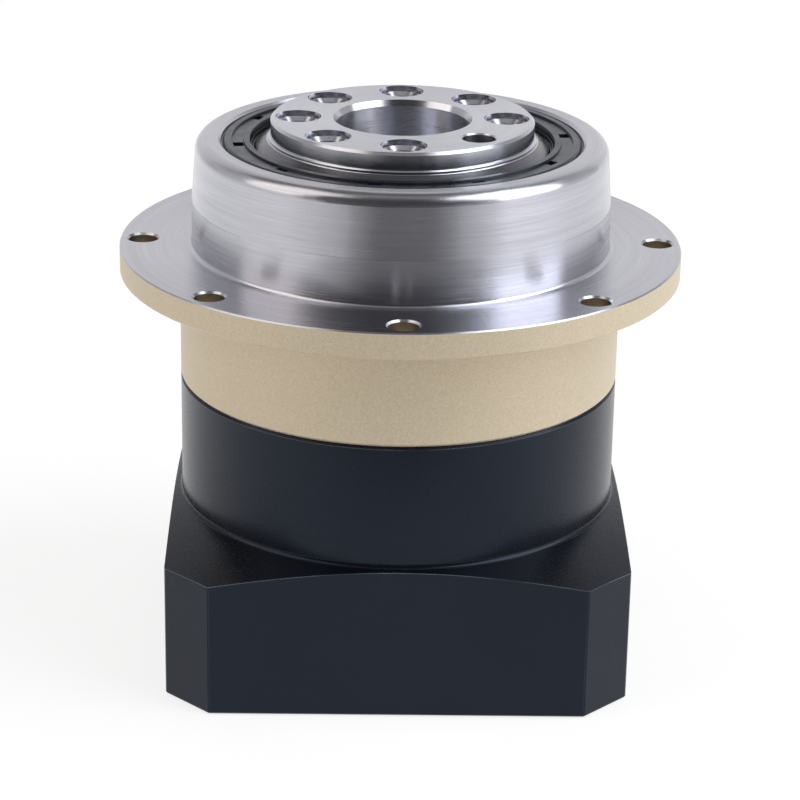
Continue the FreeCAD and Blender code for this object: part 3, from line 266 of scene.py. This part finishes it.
def turned_row(shape, outline, angle, centre=(0.0, 0.0)):
    """The points of an outline of radius and height, at an angle around an upright axis."""
    return [shape.verts.new((centre[0] + radius * math.cos(angle),
                             centre[1] + radius * math.sin(angle), height))
            for radius, height in outline]


def stitch(shape, first, second):
    """Joins two neighbouring rows of points with faces, and closes the outline."""
    for place in range(len(first)):
        after = (place + 1) % len(first)
        shape.faces.new((first[place], second[place], second[after], first[after]))


def turn_outline(shape, outline, segments, centre=(0.0, 0.0)):
    """Adds a ring to a mesh, turned from a closed outline of radius and height."""
    rows = [turned_row(shape, outline, 2 * math.pi * step / segments, centre)
            for step in range(segments)]
    for first, second in zip(rows, rows[1:] + rows[:1]):
        stitch(shape, first, second)


def new_piece(name, shape, material, body):
    """Makes a finished mesh a piece of the gearbox that moves with one of its bodies."""
    bmesh.ops.recalc_face_normals(shape, faces=shape.faces)
    mesh = bpy.data.meshes.new(name)
    shape.to_mesh(mesh)
    shape.free()
    mesh.materials.append(material)
    mesh.shade_smooth()
    mesh.set_sharp_from_angle(angle=SHARP_ANGLE)
    piece = bpy.data.objects.new(name, mesh)
    bpy.context.scene.collection.objects.link(piece)
    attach(piece, body)
    return piece


def root_ring(name, radius, height, rounding, slope, material):
    """The rounded corner between an upright wall and a face that falls away at a slope."""
    centre = (radius + rounding, height + rounding * math.tan(math.pi / 4 - slope / 2))
    outline = [(radius, height)]
    for step in range(ROOT_STEPS + 1):
        turn = (math.pi / 2 - slope) * step / ROOT_STEPS
        outline.append((centre[0] - rounding * math.cos(turn), centre[1] - rounding * math.sin(turn)))
    shape = bmesh.new()
    turn_outline(shape, outline, ROOT_SEGMENTS)
    new_piece(name, shape, material, "housing")


root_ring("flange_root", PILOT_RADIUS, FLANGE_FACE_Z, FLANGE_ROOT, 0.0, bare_steel)

# Motor adapter: aluminium, milled square below and turned above, then anodised satin black. Long
# socket screws go up through it into the housing. Four threads take the screws of the motor.
BARREL_RADIUS = 0.03385
BARREL_ROOT = 0.00075
CONE_TOP_Z = 0.0237
CONE_SLOPE = math.radians(15)
MOTOR_THREAD_CIRCLE = 0.035
MOTOR_THREAD_ANGLES = (45, 135, 225, 315)
MOTOR_THREAD_BOTTOM = 0.0008
MOTOR_THREAD_TOP = 0.0116
ADAPTER_BLACK = (0.0025, 0.0035, 0.0075, 1)
ADAPTER_GREY = (0.004, 0.0055, 0.0105, 1)
ADAPTER_EDGE_HIGHLIGHT = (0.15, 0.16, 0.18, 1)
ADAPTER_CLOUD_SCALE = 90.0
ADAPTER_CLOUD_DETAIL = 2.0
ADAPTER_CLOUD_RANGE = (0.3, 0.75)
ADAPTER_GRAIN_SCALE = 3800.0
ADAPTER_GRAIN_DETAIL = 3.0
ADAPTER_GRAIN_DEPTH = 0.000003
ADAPTER_GRAIN_STRENGTH = 0.3
ADAPTER_ROUGHNESS = (0.22, 0.3)
ADAPTER_GLOSS = 0.32
ADAPTER_GLOSS_TINT = (0.66, 0.78, 1.0, 1)
# Painted highlight: edges lightened unevenly towards grey, standing in for light on the edge breaks.
EDGE_HIGHLIGHT_WIDTH = 0.00022
EDGE_HIGHLIGHT_SAMPLES = 8
EDGE_HIGHLIGHT_RANGE = (0.93, 0.995)
EDGE_HIGHLIGHT_LEAST = 0.25
EDGE_HIGHLIGHT_CLOUD = (0.35, 0.65)


def edge_highlight_mask(tree):
    """Near 1 on the corners of a piece, where a painted highlight lightens the edges."""
    rounded = node(tree, "ShaderNodeBevel", samples=EDGE_HIGHLIGHT_SAMPLES)
    rounded.inputs["Radius"].default_value = EDGE_HIGHLIGHT_WIDTH
    surface = node(tree, "ShaderNodeNewGeometry")
    agreement = node(tree, "ShaderNodeVectorMath", operation="DOT_PRODUCT")
    tree.links.new(rounded.outputs["Normal"], agreement.inputs[0])
    tree.links.new(surface.outputs["Normal"], agreement.inputs[1])
    return mapped(tree, agreement.outputs["Value"], 1.0, 0.0, *EDGE_HIGHLIGHT_RANGE)


def anodised_black(name, highlight_colour):
    """Satin black anodising, lightened along the edges by a painted highlight in another colour."""
    material, tree, shader = new_material(name)
    grain = object_noise(tree, ADAPTER_GRAIN_SCALE, ADAPTER_GRAIN_DETAIL)
    cloud = object_noise(tree, ADAPTER_CLOUD_SCALE, ADAPTER_CLOUD_DETAIL)
    black = two_tone(tree, cloud, ADAPTER_CLOUD_RANGE, (ADAPTER_BLACK, ADAPTER_GREY))
    highlighted = math_node(tree, "MULTIPLY", edge_highlight_mask(tree),
                       mapped(tree, cloud, EDGE_HIGHLIGHT_LEAST, 1.0, *EDGE_HIGHLIGHT_CLOUD))
    edge_lit = node(tree, "ShaderNodeMixRGB")
    edge_lit.inputs["Color2"].default_value = highlight_colour
    tree.links.new(highlighted, edge_lit.inputs["Fac"])
    tree.links.new(black, edge_lit.inputs["Color1"])
    tree.links.new(edge_lit.outputs["Color"], shader.inputs["Base Color"])
    rough = mapped(tree, grain, *ADAPTER_ROUGHNESS, *NOISE_RANGE)
    tree.links.new(rough, shader.inputs["Roughness"])
    shader.inputs["Specular IOR Level"].default_value = ADAPTER_GLOSS
    shader.inputs["Specular Tint"].default_value = ADAPTER_GLOSS_TINT
    bump_into(tree, shader, grain, ADAPTER_GRAIN_DEPTH, ADAPTER_GRAIN_STRENGTH)
    return material


THREAD_RADIUS = 0.00253
THREAD_DEPTH = 0.0004
THREAD_PITCH = 0.0008
THREAD_FOOT_SHARE = 0.45
THREAD_CREST_SHARE = 0.07
THREAD_STEPS = 28


def on_circle(circle, degrees):
    """The place at an angle on a circle around the Z axis."""
    turn = math.radians(degrees)
    return circle * math.cos(turn), circle * math.sin(turn)


def thread_ridge(shape, centre, bottom, top):
    """One helical ridge with a narrow crest on the wall of a tapped hole."""
    crest = THREAD_RADIUS - THREAD_DEPTH
    section = ((THREAD_RADIUS, -THREAD_FOOT_SHARE), (crest, -THREAD_CREST_SHARE),
               (crest, THREAD_CREST_SHARE), (THREAD_RADIUS, THREAD_FOOT_SHARE))
    steps = round((top - bottom) / THREAD_PITCH * THREAD_STEPS)
    rows = []
    for step in range(steps + 1):
        height = bottom + THREAD_PITCH * step / THREAD_STEPS
        outline = [(radius, height + share * THREAD_PITCH) for radius, share in section]
        rows.append(turned_row(shape, outline, 2 * math.pi * step / THREAD_STEPS, centre))
    for lower, upper in zip(rows, rows[1:]):
        stitch(shape, lower, upper)
    shape.faces.new(rows[0])
    shape.faces.new(list(reversed(rows[-1])))


def cut_threads(name, circle, angles, bottom, top, material, body):
    """The threads of several tapped holes on one circle around the Z axis."""
    shape = bmesh.new()
    for angle in angles:
        thread_ridge(shape, on_circle(circle, angle), bottom, top)
    new_piece(name, shape, material, body)


# Both blacks carry the painted edge highlight; on the corner ring it lightens only to a faint grey.
black_anodised = anodised_black("black_anodised_aluminium", ADAPTER_EDGE_HIGHLIGHT)
faint_highlight_black = anodised_black("black_anodised_corner", ADAPTER_GREY)
dress("motor_adapter", black_anodised)
root_ring("barrel_root", BARREL_RADIUS, CONE_TOP_Z, BARREL_ROOT, CONE_SLOPE, faint_highlight_black)
cut_threads("motor_threads", MOTOR_THREAD_CIRCLE, MOTOR_THREAD_ANGLES, MOTOR_THREAD_BOTTOM,
            MOTOR_THREAD_TOP, black_anodised, "housing")

# Output carrier: bright ground steel, the flange that carries the load with its threads, dowel
# hole and centring bore, and the planet cage below it. The threads are cut after grinding.
CARRIER_STEEL = (0.6, 0.605, 0.66, 1)
OUTPUT_FACE_Z = 0.0831
CENTRE_BORE_RADIUS = 0.01
CENTRE_BORE_TOLERANCE = 0.0001
CENTRE_BORE_TILT = 0.3
OUTPUT_HOLE_CIRCLE = 0.01575
OUTPUT_HOLE_REACH = 0.0036
OUTPUT_FACE_TILT = 0.9
OUTPUT_HOLE_SPACING = 45
OUTPUT_THREADS = 7
OUTPUT_THREAD_ANGLES = [OUTPUT_HOLE_SPACING * place for place in range(OUTPUT_THREADS)]
OUTPUT_THREAD_BOTTOM = 0.0753
OUTPUT_THREAD_TOP = 0.0814

ground_steel = turned_steel("ground_output_steel", CARRIER_STEEL, roughness=0.21, spread=0.02,
                            groove_depth=0.0000003, anisotropy=0.8)
honed_steel = turned_steel("honed_bore_steel", CARRIER_STEEL, roughness=0.28, spread=0.02,
                           groove_depth=0.0000001, anisotropy=0.97)
cut_steel = turned_steel("cut_thread_steel", CARRIER_STEEL, roughness=0.2, spread=0.03,
                         groove_depth=0.0000003, anisotropy=0.0)
GROUND, HONED, CUT = range(3)
output_holes = [on_circle(OUTPUT_HOLE_CIRCLE, angle) for angle in OUTPUT_THREAD_ANGLES]
carrier = dress("output_carrier", ground_steel, honed_steel, cut_steel)
for face in carrier.data.polygons:
    reach = math.hypot(face.center.x, face.center.y)
    upright = abs(face.normal.z) < CENTRE_BORE_TILT
    nearest = min(math.hypot(face.center.x - hole[0], face.center.y - hole[1]) for hole in output_holes)
    if upright and abs(reach - CENTRE_BORE_RADIUS) < CENTRE_BORE_TOLERANCE:
        face.material_index = HONED
    elif face.normal.z < OUTPUT_FACE_TILT and nearest < OUTPUT_HOLE_REACH:
        face.material_index = CUT
    else:
        face.material_index = GROUND
cut_threads("output_threads", OUTPUT_HOLE_CIRCLE, OUTPUT_THREAD_ANGLES, OUTPUT_THREAD_BOTTOM,
            OUTPUT_THREAD_TOP, cut_steel, "output")

# Mouths of the output threads: each tapped hole in the steel is opened up a little below the face
# and countersunk from there to the thread, so that screws start easily and raise no burr.
MOUTH_RADIUS = 0.00344
MOUTH_DEPTH = 0.00092
MOUTH_FOOT = 0.00119
MOUTH_SEGMENTS = 48
THREAD_START_RADIUS = 0.0027
THREAD_START = 0.00152

mouth_outline = [
    (MOUTH_RADIUS, OUTPUT_FACE_Z - MOUTH_FOOT),
    (MOUTH_RADIUS, OUTPUT_FACE_Z - MOUTH_DEPTH),
    (THREAD_START_RADIUS, OUTPUT_FACE_Z - THREAD_START),
]
mouths = bmesh.new()
for hole in output_holes:
    turn_outline(mouths, mouth_outline, MOUTH_SEGMENTS, hole)
new_piece("thread_mouths", mouths, cut_steel, "output")

# Foot of the output boss: a second, lower step turned under the ledge of the boss. Below it sits a
# flinger, a thin ring of sheet steel that throws water and dirt off the seal lip. Its dark grey is
# painted shade of the groove between the boss and the seal.
FOOT_WALL = 0.02035
FOOT_RADIUS = 0.02062
FOOT_BREAK = 0.00006
FOOT_TOP = 0.08
FOOT_BOTTOM = 0.0797
FLINGER_SHADE_GREY = (0.2, 0.2, 0.22, 1)
FLINGER_RADIUS = 0.02225
FLINGER_TOP = 0.07988
FLINGER_BOTTOM = 0.07878
FLINGER_EDGE = 0.0001

foot = bmesh.new()
turn_outline(foot, [
    (FOOT_WALL, FOOT_BOTTOM),
    (FOOT_RADIUS, FOOT_BOTTOM),
    (FOOT_RADIUS, FOOT_TOP - FOOT_BREAK),
    (FOOT_RADIUS - FOOT_BREAK, FOOT_TOP),
    (FOOT_WALL, FOOT_TOP),
], ROOT_SEGMENTS)
new_piece("boss_foot", foot, ground_steel, "output")

# The flinger's dark grey is painted shade of the groove that it sits in.
shaded_flinger_steel = turned_steel("flinger_steel_painted_shade", FLINGER_SHADE_GREY, roughness=0.27, spread=0.03,
                             groove_depth=0.0000003, anisotropy=0.6)
flinger = bmesh.new()
turn_outline(flinger, [
    (FOOT_WALL, FLINGER_BOTTOM - FLINGER_EDGE),
    (FLINGER_RADIUS, FLINGER_BOTTOM - FLINGER_EDGE),
    (FLINGER_RADIUS, FLINGER_BOTTOM),
    (FOOT_RADIUS, FLINGER_TOP),
    (FOOT_WALL, FLINGER_TOP),
], ROOT_SEGMENTS)
new_piece("dust_flinger", flinger, shaded_flinger_steel, "output")

# Seals: black moulded rubber. The output seal is pressed into the nose; its face has two raised
# rims, a notched channel between them, and a thin dust lip in the gap inside. The input seal is
# pressed in at the other end, and the O-ring lies between adapter and housing.
SEAL_TOP_Z = 0.0799
SEAL_BACK = -0.003
SEAL_RADIUS = 0.02745
SEAL_SHOULDER = -0.0006
SEAL_CHANNEL = -0.00036
SEAL_NOTCH_FLOOR = -0.0011
SEAL_LIP_TOP = -0.00075
SEAL_LIP_FOOT = -0.0014
SEAL_BORE_RADIUS = 0.02245
SEAL_NOTCHES = 10
SEAL_NOTCH_TURN = 8
SEAL_NOTCH_ANGLE = 4.8
SEAL_NOTCH_STEPS = 4
SEAL_WEB_STEPS = 16
WELD_DISTANCE = 0.0000001
RUBBER_BLACK = (0.006, 0.0068, 0.0095, 1)
RUBBER_GREY = (0.016, 0.0185, 0.026, 1)
RUBBER_BLOOM_SCALE = 420.0
RUBBER_BLOOM_DETAIL = 5.0
RUBBER_BLOOM_RANGE = (0.35, 0.7)
RUBBER_ROUGHNESS = (0.25, 0.38)
RUBBER_GLOSS = 0.85
RUBBER_GLOSS_TINT = (0.78, 0.88, 1.0, 1)
RUBBER_GRAIN_DEPTH = 0.00002
RUBBER_GRAIN_STRENGTH = 0.3


def moulded_rubber(name):
    """Black rubber or plastic out of a mould, with a faint grey bloom."""
    material, tree, shader = new_material(name)
    bloom = object_noise(tree, RUBBER_BLOOM_SCALE, RUBBER_BLOOM_DETAIL)
    tone = two_tone(tree, bloom, RUBBER_BLOOM_RANGE, (RUBBER_BLACK, RUBBER_GREY))
    tree.links.new(tone, shader.inputs["Base Color"])
    rough = mapped(tree, bloom, *RUBBER_ROUGHNESS, *NOISE_RANGE)
    tree.links.new(rough, shader.inputs["Roughness"])
    shader.inputs["Specular IOR Level"].default_value = RUBBER_GLOSS
    shader.inputs["Specular Tint"].default_value = RUBBER_GLOSS_TINT
    bump_into(tree, shader, bloom, RUBBER_GRAIN_DEPTH, RUBBER_GRAIN_STRENGTH)
    return material


def seal_outline(channel_floor):
    """Radius and height of the seal's section, from the press fit in to the bore."""
    press_fit = [(SEAL_RADIUS, SEAL_BACK), (SEAL_RADIUS, SEAL_SHOULDER), (0.02722, SEAL_SHOULDER)]
    outer_rim = [(0.02695, -0.0001), (0.0268, 0.0), (0.02595, 0.0), (0.02586, -0.00006)]
    channel = [(0.0258, SEAL_CHANNEL), (0.02574, SEAL_CHANNEL), (0.02574, channel_floor),
               (0.02418, channel_floor), (0.02418, SEAL_CHANNEL), (0.02412, SEAL_CHANNEL)]
    inner_rim = [(0.02406, -0.00006), (0.02397, 0.0), (0.02322, 0.0), (0.02312, -0.00008)]
    dust_lip = [(0.023, -0.0012), (0.02286, SEAL_LIP_TOP), (0.02278, SEAL_LIP_TOP),
                (0.02266, SEAL_LIP_FOOT)]
    bore = [(SEAL_BORE_RADIUS, SEAL_LIP_FOOT), (SEAL_BORE_RADIUS, SEAL_BACK)]
    section = press_fit + outer_rim + channel + inner_rim + dust_lip + bore
    return [(radius, SEAL_TOP_Z + height) for radius, height in section]


plain_section = seal_outline(SEAL_CHANNEL)
notched_section = seal_outline(SEAL_NOTCH_FLOOR)
notch_pitch = 360 / SEAL_NOTCHES
web = notch_pitch - SEAL_NOTCH_ANGLE
seal_mesh = bmesh.new()
seal_rows = []
for place in range(SEAL_NOTCHES):
    middle = SEAL_NOTCH_TURN + notch_pitch * place
    notch_end = middle + SEAL_NOTCH_ANGLE / 2
    for step in range(SEAL_NOTCH_STEPS + 1):
        angle = middle + (step / SEAL_NOTCH_STEPS - 0.5) * SEAL_NOTCH_ANGLE
        seal_rows.append(turned_row(seal_mesh, notched_section, math.radians(angle)))
    for step in range(SEAL_WEB_STEPS + 1):
        angle = notch_end + web * step / SEAL_WEB_STEPS
        seal_rows.append(turned_row(seal_mesh, plain_section, math.radians(angle)))
for first, second in zip(seal_rows, seal_rows[1:] + seal_rows[:1]):
    stitch(seal_mesh, first, second)
bmesh.ops.remove_doubles(seal_mesh, verts=seal_mesh.verts, dist=WELD_DISTANCE)
bmesh.ops.dissolve_degenerate(seal_mesh, edges=seal_mesh.edges, dist=WELD_DISTANCE)

rubber = moulded_rubber("black_rubber")
moulded_seal = new_piece("moulded_output_seal", seal_mesh, rubber, "housing")
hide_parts("output_seal")
for seal in ("input_seal", "o_ring"):
    dress(seal, rubber)

# Gears: helical sun, planets and ring of case hardened steel, grey from the heat treatment, with
# ground flanks. The ring is pressed into the housing, and the sun into the input shaft.
GEAR_STEEL = (0.42, 0.42, 0.43, 1)
PLANETS = (1, 2, 3)

gear_steel = turned_steel("hardened_gear_steel", GEAR_STEEL, roughness=0.32, spread=0.06,
                          groove_depth=0.000002, anisotropy=0.2)
dress("ring_gear", gear_steel)
dress("sun_gear", gear_steel)
for planet in PLANETS:
    dress(f"planet_gear_{planet}", gear_steel)

# Bearings: rings, balls, needles and planet pins of hardened and polished steel, with cages and
# thrust washers turned from brass. The rings are pressed onto their seats, the pins into the carrier.
BEARING_STEEL = (0.7, 0.705, 0.715, 1)
CAGE_BRASS = (0.72, 0.53, 0.25, 1)

polished_steel = turned_steel("polished_bearing_steel", BEARING_STEEL, roughness=0.14, spread=0.03,
                              groove_depth=0.000001, anisotropy=0.2)
brass = turned_steel("turned_brass", CAGE_BRASS, roughness=0.3, spread=0.06,
                     groove_depth=0.000003, anisotropy=0.3)
for bearing in ("front_bearing", "rear_bearing", "input_bearing"):
    for piece in ("outer_ring", "inner_ring", "balls"):
        dress(f"{bearing}_{piece}", polished_steel)
    dress(f"{bearing}_cage", brass)
for planet in PLANETS:
    dress(f"planet_pin_{planet}", polished_steel)
    dress(f"planet_needles_{planet}", polished_steel)
dress("thrust_washers", brass)

# Retaining rings and garter spring: dark oiled spring steel. The rings snap into grooves and hold
# the bearings. The spring lies behind the lip of the output seal and presses it to the shaft.
SPRING_STEEL = (0.2, 0.2, 0.21, 1)

spring_steel = turned_steel("oiled_spring_steel", SPRING_STEEL, roughness=0.35, spread=0.06,
                            groove_depth=0.000002, anisotropy=0.2)
for ring in ("bearing_retaining_ring", "carrier_retaining_ring", "input_retaining_ring",
             "shaft_retaining_ring", "seal_spring"):
    dress(ring, spring_steel)

# Input shaft and clamp collar: turned steel, slotted so that one screw squeezes it around the shaft
# of the motor. This screw and the six that join adapter and housing are socket screws of
# blackened steel.
INPUT_STEEL = (0.55, 0.555, 0.565, 1)
SCREW_BLACK = (0.05, 0.05, 0.055, 1)

input_steel = turned_steel("turned_input_steel", INPUT_STEEL, roughness=0.28, spread=0.06,
                           groove_depth=0.000003, anisotropy=0.4)
black_oxide = turned_steel("black_oxide_screw_steel", SCREW_BLACK, roughness=0.38, spread=0.06,
                           groove_depth=0.000002, anisotropy=0.1)
dress("input_shaft", input_steel)
dress("clamp_collar", input_steel)
dress("clamp_screw", black_oxide)
dress("housing_screws", black_oxide)

# Access plug: moulded from black plastic and pushed by hand into the hole in the back of the
# adapter through which a key reaches the clamp screw.
dress("access_plug", moulded_rubber("black_plug_plastic"))

# Studio: a pale floor and backdrop, a softbox on each side and a weak fill from the front. The
# room around it is dark, so that the steel shows both light and shade. The camera stands where
# that of the photograph stood.
CAMERA_AZIMUTH = math.radians(-1.0)
CAMERA_ELEVATION = math.radians(20.783)
CAMERA_ROLL = math.radians(0.998)
CAMERA_DISTANCE = 0.44127
CAMERA_TARGET = Vector((0.000333, 0, 0.037371))
CAMERA_LENS = 126.5
CAMERA_SENSOR = 36.0

camera_data = bpy.data.cameras.new("camera")
camera_data.sensor_width = CAMERA_SENSOR
camera_data.lens = CAMERA_LENS
camera = bpy.data.objects.new("camera", camera_data)
bpy.context.scene.collection.objects.link(camera)
toward = Vector((0, -math.cos(CAMERA_ELEVATION), math.sin(CAMERA_ELEVATION)))
orbit = Matrix.Rotation(CAMERA_AZIMUTH, 3, "Z")
camera.rotation_mode = "QUATERNION"
camera.location = orbit @ (CAMERA_TARGET + toward * CAMERA_DISTANCE)
aim = (-(orbit @ toward)).to_track_quat("-Z", "Y")
camera.rotation_quaternion = aim @ Quaternion((0, 0, 1), CAMERA_ROLL)
bpy.context.scene.camera = camera

# The world is white to the camera and in reflections, and gives the object little light.
WORLD_LIGHT = 0.1
WORLD_WHITE = 1.0

world = bpy.data.worlds.new("white_surround")
bpy.context.scene.world = world
world.use_nodes = True
world_tree = world.node_tree
background = world_tree.nodes["Background"]
background.inputs["Color"].default_value = (1, 1, 1, 1)
rays = node(world_tree, "ShaderNodeLightPath").outputs
seen = math_node(world_tree, "MAXIMUM", rays["Is Camera Ray"], rays["Is Glossy Ray"])
seen = math_node(world_tree, "MAXIMUM", seen, rays["Is Transmission Ray"])
strength = mapped(world_tree, seen, WORLD_LIGHT, WORLD_WHITE)
world_tree.links.new(strength, background.inputs["Strength"])

PANEL_ROUGHNESS = 0.95


def studio_panel(name, surface, width, height, place, facing, colour, glow):
    """A flat matt rectangle of the studio that faces along a direction and glows a little."""
    material, tree, shader = new_material(surface)
    shader.inputs["Base Color"].default_value = colour
    shader.inputs["Roughness"].default_value = PANEL_ROUGHNESS
    shader.inputs["Emission Color"].default_value = (1, 1, 1, 1)
    shader.inputs["Emission Strength"].default_value = glow
    shape = bmesh.new()
    corners = [(-width / 2, -height / 2, 0), (width / 2, -height / 2, 0),
               (width / 2, height / 2, 0), (-width / 2, height / 2, 0)]
    shape.faces.new([shape.verts.new(corner) for corner in corners])
    mesh = bpy.data.meshes.new(name)
    shape.to_mesh(mesh)
    shape.free()
    mesh.materials.append(material)
    panel = bpy.data.objects.new(name, mesh)
    bpy.context.scene.collection.objects.link(panel)
    panel.location = place
    panel.rotation_mode = "QUATERNION"
    panel.rotation_quaternion = Vector(facing).to_track_quat("Z", "Y")
    return panel


studio_panel("floor", "pale_floor", width=4, height=4, place=(0, 0, -0.0002), facing=(0, 0, 1),
             colour=(0.27, 0.27, 0.275, 1), glow=0.79)
studio_panel("backdrop", "white_backdrop", width=2.4, height=1.2, place=(0, 0.9, 0.6),
             facing=(0, -1, 0), colour=(0.7, 0.7, 0.7, 1), glow=0.2)

# Panels that only polished surfaces see: width, height, place, facing direction, grey and glow.
# Walls and ceiling make the dark room, canopy and wings lighten the steel, and a cloth and a screen
# in front darken it.
ROOM = 4.2
HALF_ROOM = ROOM / 2
GLOSS_PANELS = {
    "front_wall": (ROOM, ROOM, (0, -HALF_ROOM, HALF_ROOM), (0, 1, 0), 0.02, 0.03),
    "back_wall": (ROOM, ROOM, (0, HALF_ROOM, HALF_ROOM), (0, -1, 0), 0.02, 0.1),
    "left_wall": (ROOM, ROOM, (-HALF_ROOM, 0, HALF_ROOM), (1, 0, 0), 0.02, 0.1),
    "right_wall": (ROOM, ROOM, (HALF_ROOM, 0, HALF_ROOM), (-1, 0, 0), 0.02, 0.1),
    "ceiling": (ROOM, ROOM, (0, 0, 2.6), (0, 0, -1), 0.02, 0.08),
    "canopy": (0.9, 0.65, (0, -0.22, 1.6), (0, 0, -1), 0.02, 0.36),
    "left_wing": (0.89, 1.2, (-1.075, 0.475, 0.6), (0.96, -0.28, 0), 0.5, 0.16),
    "right_wing": (0.89, 1.2, (1.075, 0.475, 0.6), (-0.96, -0.28, 0), 0.5, 0.16),
    "front_cloth": (0.34, 0.5, (0.02, -0.39, 0.0001), (0, 0, 1), 0.28, 0.0),
    "front_screen": (0.7, 0.6, (0.01, -0.66, 0.3), (0, 1, 0), 0.01, 0.02),
}
for name, (width, height, place, facing, grey, glow) in GLOSS_PANELS.items():
    panel = studio_panel(name, f"{name}_surface", width, height, place, facing,
                         (grey, grey, grey, 1), glow)
    panel.visible_camera = False
    panel.visible_diffuse = False
    panel.visible_shadow = False

LAMP_TARGET = Vector((0, 0, 0.05))


def softbox(name, width, height, place, power, colour):
    """A rectangular lamp that points at the middle of the object."""
    lamp = bpy.data.lights.new(name, "AREA")
    lamp.shape = "RECTANGLE"
    lamp.size = width
    lamp.size_y = height
    lamp.energy = power
    lamp.color = colour
    light = bpy.data.objects.new(name, lamp)
    bpy.context.scene.collection.objects.link(light)
    light.location = place
    light.rotation_mode = "QUATERNION"
    light.rotation_quaternion = (LAMP_TARGET - Vector(place)).to_track_quat("-Z", "Y")
    return light


softbox("left_softbox", width=0.72, height=1.25, place=(-0.81, -0.2, 0.7), power=4.2,
        colour=(1.0, 0.935, 0.87))
softbox("right_softbox", width=0.85, height=1.25, place=(0.8, -0.23, 0.7), power=11.0,
        colour=(0.93, 0.955, 1.0))
fill = softbox("front_fill", width=0.8, height=0.5, place=(0, -1.1, 0.45), power=1.2,
               colour=(1.0, 1.0, 1.0))
fill.visible_glossy = False

bpy.context.scene.view_settings.view_transform = "Standard"
